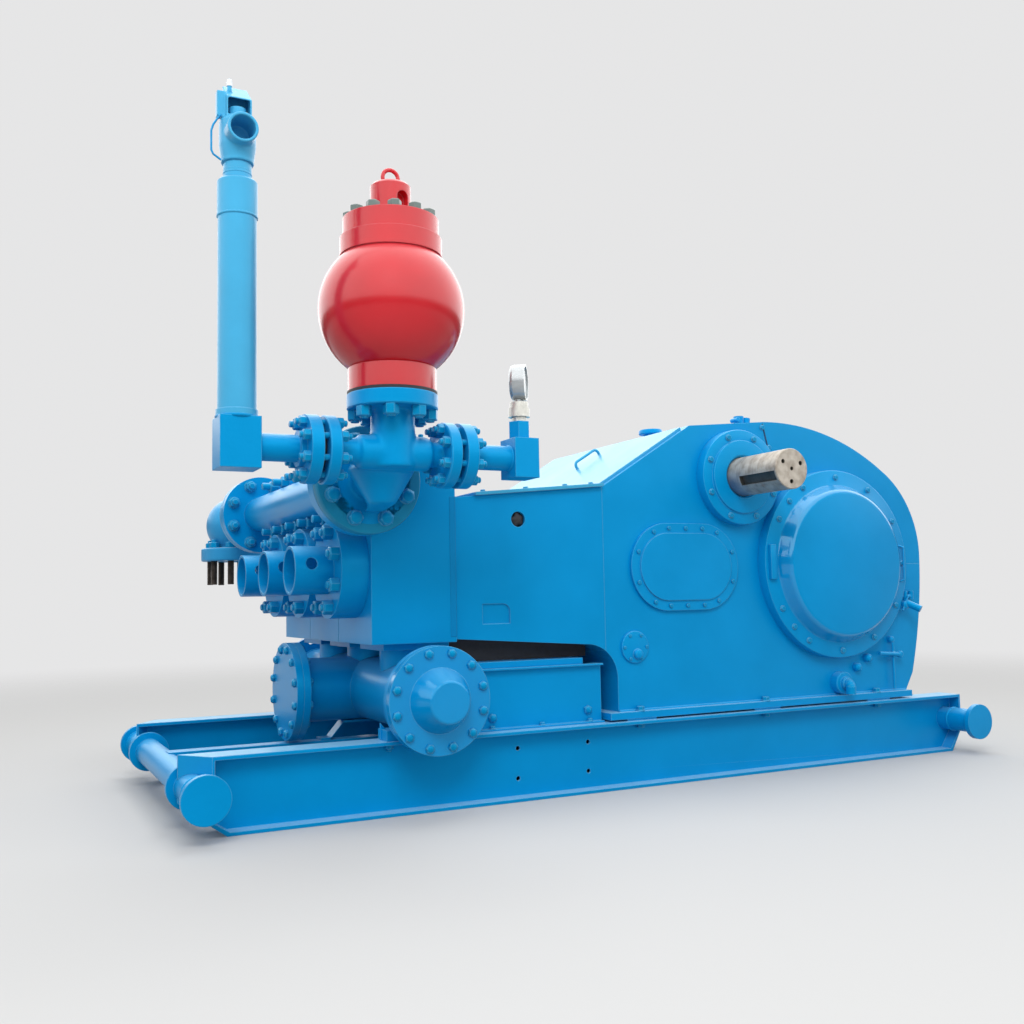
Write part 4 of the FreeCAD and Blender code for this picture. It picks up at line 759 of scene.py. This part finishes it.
# Fluid end modules: three forged blocks side by side, machined and painted, their valve covers held by eight
# nuts each. A band of darker blue, the painted shade of a chamfer, marks where the crosshead housing butts on
# to them.
module_y = (-0.423, 0.0, 0.423)
dress(plate_paint, "fluid_module_near", "fluid_module_middle", "fluid_module_far", "valve_covers")
joint_shade_paint = enamel("blue_enamel_joint_shade", (0.0, 0.205, 0.50), (0.05, 0.30, 0.55), edge=0.2, gloss=0.40)
joint_x, joint_y, half_skin = -0.860, 0.6322, 0.0008
joint_low, joint_high = 0.665, 1.226
piece("housing_joint", joined([
    slab((joint_x - 0.026, side * joint_y - half_skin, joint_low),
         (joint_x + 0.001, side * joint_y + half_skin, joint_high))
    for side in (-1, 1)
]), joint_shade_paint)
valve_cover_x, valve_cover_top, valve_cover_pitch = -1.055, 1.4606, 0.250
valve_bolts = []
for y in module_y:
    valve_bolts += ring((valve_cover_x, y, valve_cover_top), 8, valve_cover_pitch, (0, 0, 1))
piece("valve_cover_nuts", fasteners(valve_bolts, 0.036, 0.026, stud=0.022, reach=0.014), bolt_paint)


# Cylinder heads: a heavy retainer flange on eight studs in the front of each module, with the open
# screwed tube in its middle. A little of each stud stands out of its thick painted nut.
dress(cast_paint, "cylinder_head_near", "cylinder_head_middle", "cylinder_head_far")
head_face_x, head_z, head_pitch = -1.328, 0.939, 0.318
head_nuts = []
for y in module_y:
    head_nuts += ring((head_face_x, y, head_z), 8, head_pitch, (-1, 0, 0))
piece("head_nuts", fasteners(head_nuts, 0.050, 0.038, stud=0.030, reach=0.012), bolt_paint)


# Suction manifold: welded pipe under the modules. A domed cover closes its near flange and a flat one
# its front flange, each on twelve bolts, and the far flange stays open for the pipe that joins it.
dress(cast_paint, "suction_manifold", "suction_necks")
dress(plate_paint, "suction_front_cover")
dome_gloss = enamel("blue_enamel_dome", blue, pale_blue, edge=0.5, cloud=0.04, grain=0.03, gloss=0.15,
                    tint_of_gloss=(0.35, 0.9, 1.0), coat=0.15)
dress(dome_gloss, "suction_dome_cover")
suction_x, suction_z, suction_pitch = -1.005, 0.435, 0.362
suction_bolts = []
for middle, out in (
    ((suction_x, -0.803, suction_z), (0, -1, 0)),
    ((suction_x, -0.743, suction_z), (0, 1, 0)),
    ((-1.390, 0, suction_z), (-1, 0, 0)),
    ((-1.330, 0, suction_z), (1, 0, 0)),
):
    suction_bolts += ring(middle, 12, suction_pitch, out)
piece("suction_bolts", fasteners(suction_bolts, 0.032, 0.011, domed=0.007), bolt_paint)
suction_welds = [
    weld_bead((suction_x, -0.7425, suction_z), (0, 1, 0), 0.1365, 0.014),
    weld_bead((suction_x, 0.7725, suction_z), (0, 1, 0), 0.1365, 0.014),
    weld_bead((-1.3295, 0, suction_z), (1, 0, 0), 0.1365, 0.014),
]
piece("suction_welds", joined(suction_welds), cast_paint)


# Discharge manifold: heavy pipe held to the modules by saddles, each on four studs with round nuts. Its
# elbow and the cross at its near end are forgings, so their bodies run into one another without edges.
def forged(name, node, grain, passes, finish, draw=None):
    """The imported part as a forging: the same body, drawn out a little, its joints and edges worked round."""
    form = bmesh.new()
    form.from_mesh(nodes[node].data)
    bmesh.ops.transform(form, matrix=nodes[node].matrix_world, verts=form.verts)
    bmesh.ops.remove_doubles(form, verts=form.verts, dist=1e-5)
    bmesh.ops.recalc_face_normals(form, faces=form.faces)
    if draw:
        for corner in form.verts:
            corner.co += draw(corner.co)
    item = piece(name, form, finish)
    skin = item.modifiers.new("skin", "REMESH")
    skin.mode = "VOXEL"
    skin.voxel_size = grain
    skin.use_smooth_shade = True
    worked = item.modifiers.new("worked", "SMOOTH")
    worked.factor = 0.5
    worked.iterations = passes
    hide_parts(node)
    return item


dress(cast_paint, "discharge_manifold", "manifold_saddles")
# Paint of the forged elbow: paler and greyer on faces that look up and on edges, partly dust and partly
# painted highlight.
elbow_dust_and_highlight_paint = enamel("blue_enamel_dust_and_highlight", (0.03, 0.27, 0.56), (0.46, 0.62, 0.70), cloud=0.14, grain=0.2,
                     grain_size=80, gloss=0.36, top_dust_and_light=0.7)
main_x, main_z, riser_y, branch_z = -1.286, 1.261, -1.072, 1.326
forged("forged_elbow", "discharge_elbow", 0.005, 7, elbow_dust_and_highlight_paint)


belly_y, belly_foot_top, belly_pull = -0.950, 1.145, 0.085


def belly_lean(place):
    """The foot of the cross's belly is drawn back towards the manifold flange."""
    in_belly = abs(place.x - main_x) < 0.06 and abs(place.y - belly_y) < 0.125
    at_foot = in_belly and place.z < belly_foot_top
    return Vector((0, belly_pull if at_foot else 0, 0))


forged("forged_cross", "discharge_cross", 0.004, 60, cast_paint, belly_lean)
soiled_paint = enamel("blue_enamel_soiled", (0.012, 0.235, 0.43), (0.20, 0.42, 0.50), edge=0.4, cloud=0.22,
                      grain=0.2, grain_size=60, gloss=0.40)
piece("cross_near_flange", turned([
    (0.070, 0), (0.2025, 0), (0.2025, 0.043), (0.199, 0.048), (0.193, 0.050), (0.070, 0.050),
], (main_x, -0.775, main_z), (0, -1, 0), 72), soiled_paint)
riser_flange_z = 1.476
top_rim = [(0.074, 0), (0.155, 0), (0.159, 0.004), (0.159, 0.050), (0.155, 0.054), (0.074, 0.054)]
side_rim = [(0.045, 0), (0.114, 0), (0.117, 0.003), (0.117, 0.038), (0.113, 0.042), (0.045, 0.042)]
cross_rims = [turned(top_rim, (main_x, riser_y, riser_flange_z), (0, 0, 1), 72)]
for x, out in ((-1.5425, 1), (-1.0695, -1)):
    cross_rims.append(turned(side_rim, (x, riser_y, branch_z), (out, 0, 0), 48))
piece("cross_flanges", joined(cross_rims), cast_paint)
saddle_places = []
saddle_ears = []
for y in module_y:
    for away in (-0.100, 0.100):
        for z in (1.371, 1.151):
            saddle_places.append(((main_x, y + away, z), (-1, 0, 0)))
            saddle_ears.append(bar((-1.236, y + away, z), (-1.287, y + away, z), 0.062, 24))
piece("saddle_ears", joined(saddle_ears), cast_paint)
piece("saddle_nuts", fasteners(saddle_places, 0.048, 0.036, stud=0.034, reach=0.040), bolt_paint)
near_pitch, far_pitch = 0.308, 0.305
near_nuts = ring((main_x, -0.825, main_z), 8, near_pitch, (0, -1, 0))
piece("near_flange_nuts", fasteners(near_nuts, 0.050, 0.026, washer=0.060, domed=0.010), bolt_paint)
end_bolts = ring((main_x, -0.708, main_z), 8, near_pitch, (0, 1, 0))
end_bolts += ring((main_x, 0.846, main_z), 8, far_pitch, (0, -1, 0))
end_bolts += ring((main_x, 0.947, main_z), 8, far_pitch, (0, 1, 0))
piece("manifold_bolts", fasteners(end_bolts, 0.046, 0.034, washer=0.062, stud=0.030, reach=0.018), bolt_paint)


# Elbow studs: black oiled steel, screwed through the outlet flange and hanging free below it for the
# pipe that joins here on site, with painted nuts above.
oiled_steel = mottled("oiled_stud_steel", (0.085, 0.068, 0.058), 0.45, metallic=0.6, spread=0.3)
thread_pitch, thread_depth, stud_radius, stud_length = 0.004, 0.0022, 0.018, 0.130
elbow_y, elbow_pitch = 1.460, 0.277
thread_outline = [(0, 0)]
for step in range(int(stud_length / thread_pitch)):
    thread_outline.append((stud_radius - thread_depth, thread_pitch * step))
    thread_outline.append((stud_radius, thread_pitch * (step + 0.5)))
thread_outline += [(0.015, stud_length - 0.0005), (0, stud_length - 0.0005)]
hanging = []
for spot, out in ring((main_x, elbow_y, 1.046), 8, elbow_pitch, (0, 0, -1)):
    hanging.append(turned(thread_outline, spot, out, 16))
elbow_studs = piece("threaded_studs", joined(hanging), oiled_steel)
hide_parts("elbow_studs")
elbow_nuts = ring((main_x, elbow_y, 1.118), 8, elbow_pitch, (0, 0, 1))
piece("elbow_nuts", fasteners(elbow_nuts, 0.050, 0.032, stud=0.030, reach=0.016), bolt_paint)


# Branches of the discharge cross: flange pairs drawn together on eight bolts, whose shanks show in the
# gap, and forged blocks that carry the relief stand and the gauge.
dress(cast_paint, "relief_branch", "gauge_branch", "gauge_adaptor")
branch_pitch, nut_face, shank_length = 0.190, 0.0525, 0.024
branch_nuts = []
shanks = []
for middle_x in (-1.553, -1.059):
    for outer in (-1, 1):
        nut_x = middle_x + outer * nut_face
        branch_nuts += ring((nut_x, riser_y, branch_z), 8, branch_pitch, (outer, 0, 0))
    shank_x = middle_x - shank_length / 2
    for spot, out in ring((shank_x, riser_y, branch_z), 8, branch_pitch, (1, 0, 0)):
        shanks.append(bar(spot, spot + Vector((shank_length, 0, 0)), 0.022, 12))
piece("branch_nuts", fasteners(branch_nuts, 0.034, 0.024, stud=0.022, reach=0.014), bolt_paint)
piece("branch_shanks", joined(shanks), bolt_paint)
dress(rubber_and_shade_black, "flange_gaskets")
stand_x = -1.824
branch_welds = [
    weld_bead((-1.7575, riser_y, branch_z), (1, 0, 0), 0.046, 0.012),
    weld_bead((-0.838, riser_y, branch_z), (1, 0, 0), 0.046, 0.012),
    weld_bead((stand_x, riser_y, 1.4195), (0, 0, 1), 0.066, 0.012),
]
piece("branch_welds", joined(branch_welds), cast_paint)


# Pulsation dampener: forged shell and cover in glossy red enamel, on a black gasket and a painted flange
# with eight large nuts underneath. Twelve flat nuts in grey green paint hold the cover.
red_paint = enamel("red_enamel", (0.54, 0.007, 0.015), (0.80, 0.22, 0.26), edge=0.4, cloud=0.10, grain=0.03,
                   grain_size=110, gloss=0.20, tint_of_gloss=(1.0, 0.85, 0.85), coat=0.12,
                   coat_roughness=0.12)
dress(red_paint, "dampener_shell", "dampener_cap")
gasket_z, cap_flange_z, base_pitch, cap_pitch = 1.5285, 2.153, 0.262, 0.288
gasket_outline = [(0.120, 0), (0.1575, 0), (0.1575, 0.010), (0.120, 0.010), (0.120, 0)]
piece("dampener_gasket", turned(gasket_outline, (main_x, riser_y, gasket_z), (0, 0, 1), 72), rubber_and_shade_black)
base_nuts = ring((main_x, riser_y, riser_flange_z), 8, base_pitch, (0, 0, -1))
piece("dampener_base_nuts", fasteners(base_nuts, 0.047, 0.036, stud=0.030, reach=0.007), bolt_paint)
grey_paint = enamel("grey_green_nut_paint", (0.115, 0.150, 0.140), (0.38, 0.42, 0.40), edge=0.35, grain=0.1,
                    tint_of_gloss=(0.8, 0.9, 0.9))
cap_nuts = ring((main_x, riser_y, cap_flange_z), 12, cap_pitch, (0, 0, 1))
piece("dampener_cap_nuts", fasteners(cap_nuts, 0.042, 0.024, domed=0.004), grey_paint)


# Relief stand: thick-walled pipe, welded collar and threaded coupling, with the cast relief valve on top.
# A thin reset rod is bent round the valve's left side, from the latch block down to the skirt.
# The stand and valve are painted a paler blue than the pump, as dust and as painted light.
stand_paint = enamel("blue_enamel_stand", (0.045, 0.355, 0.62), (0.30, 0.66, 0.86), edge=0.4, cloud=0.07,
                     grain=0.10, gloss=0.33, tint_of_gloss=(0.4, 0.8, 1.0))
dress(stand_paint, "stand_pipe", "stand_coupling")
forged("cast_relief_valve", "relief_valve", 0.0028, 5, stand_paint)
# The cap on the trip stub is coloured near white.
white_cap = mottled("near_white_stub_cap", (0.72, 0.76, 0.78), 0.4, spread=0.04)
cap_outline = [(0, 0), (0.0095, 0), (0.0095, 0.020), (0.007, 0.0235), (0, 0.0245)]
piece("trip_stub_cap", turned(cap_outline, (-1.851, riser_y, 2.532), (0, 0, 1), 24), white_cap)
rod_y = -1.085
rod_line = ((-1.881, 2.425), (-1.893, 2.408), (-1.906, 2.386), (-1.912, 2.365), (-1.912, 2.300),
            (-1.906, 2.286), (-1.880, 2.270))
piece("reset_rod", joined([
    bar((x0, rod_y, z0), (x1, rod_y, z1), 0.007) for (x0, z0), (x1, z1) in zip(rod_line, rod_line[1:])
]), cast_paint)
piece("stand_rings", joined([
    weld_bead((stand_x, riser_y, height), (0, 0, 1), radius, width)
    for height, radius, width in ((2.088, 0.0640, 0.010), (2.232, 0.0455, 0.008), (2.243, 0.0455, 0.006))
]), stand_paint)


# Pressure gauge: a drum in a grey metal case, turned a little to the left, on a zinc plated swivel nut
# with a threaded stub.
case_grey = mottled("gauge_case_grey", (0.42, 0.45, 0.46), 0.3, metallic=0.5, spread=0.06)
dress(case_grey, "pressure_gauge")
zinc = mottled("zinc_plated_nut", (0.58, 0.58, 0.53), 0.35, metallic=0.45, spread=0.12)
dress(zinc, "gauge_fitting")
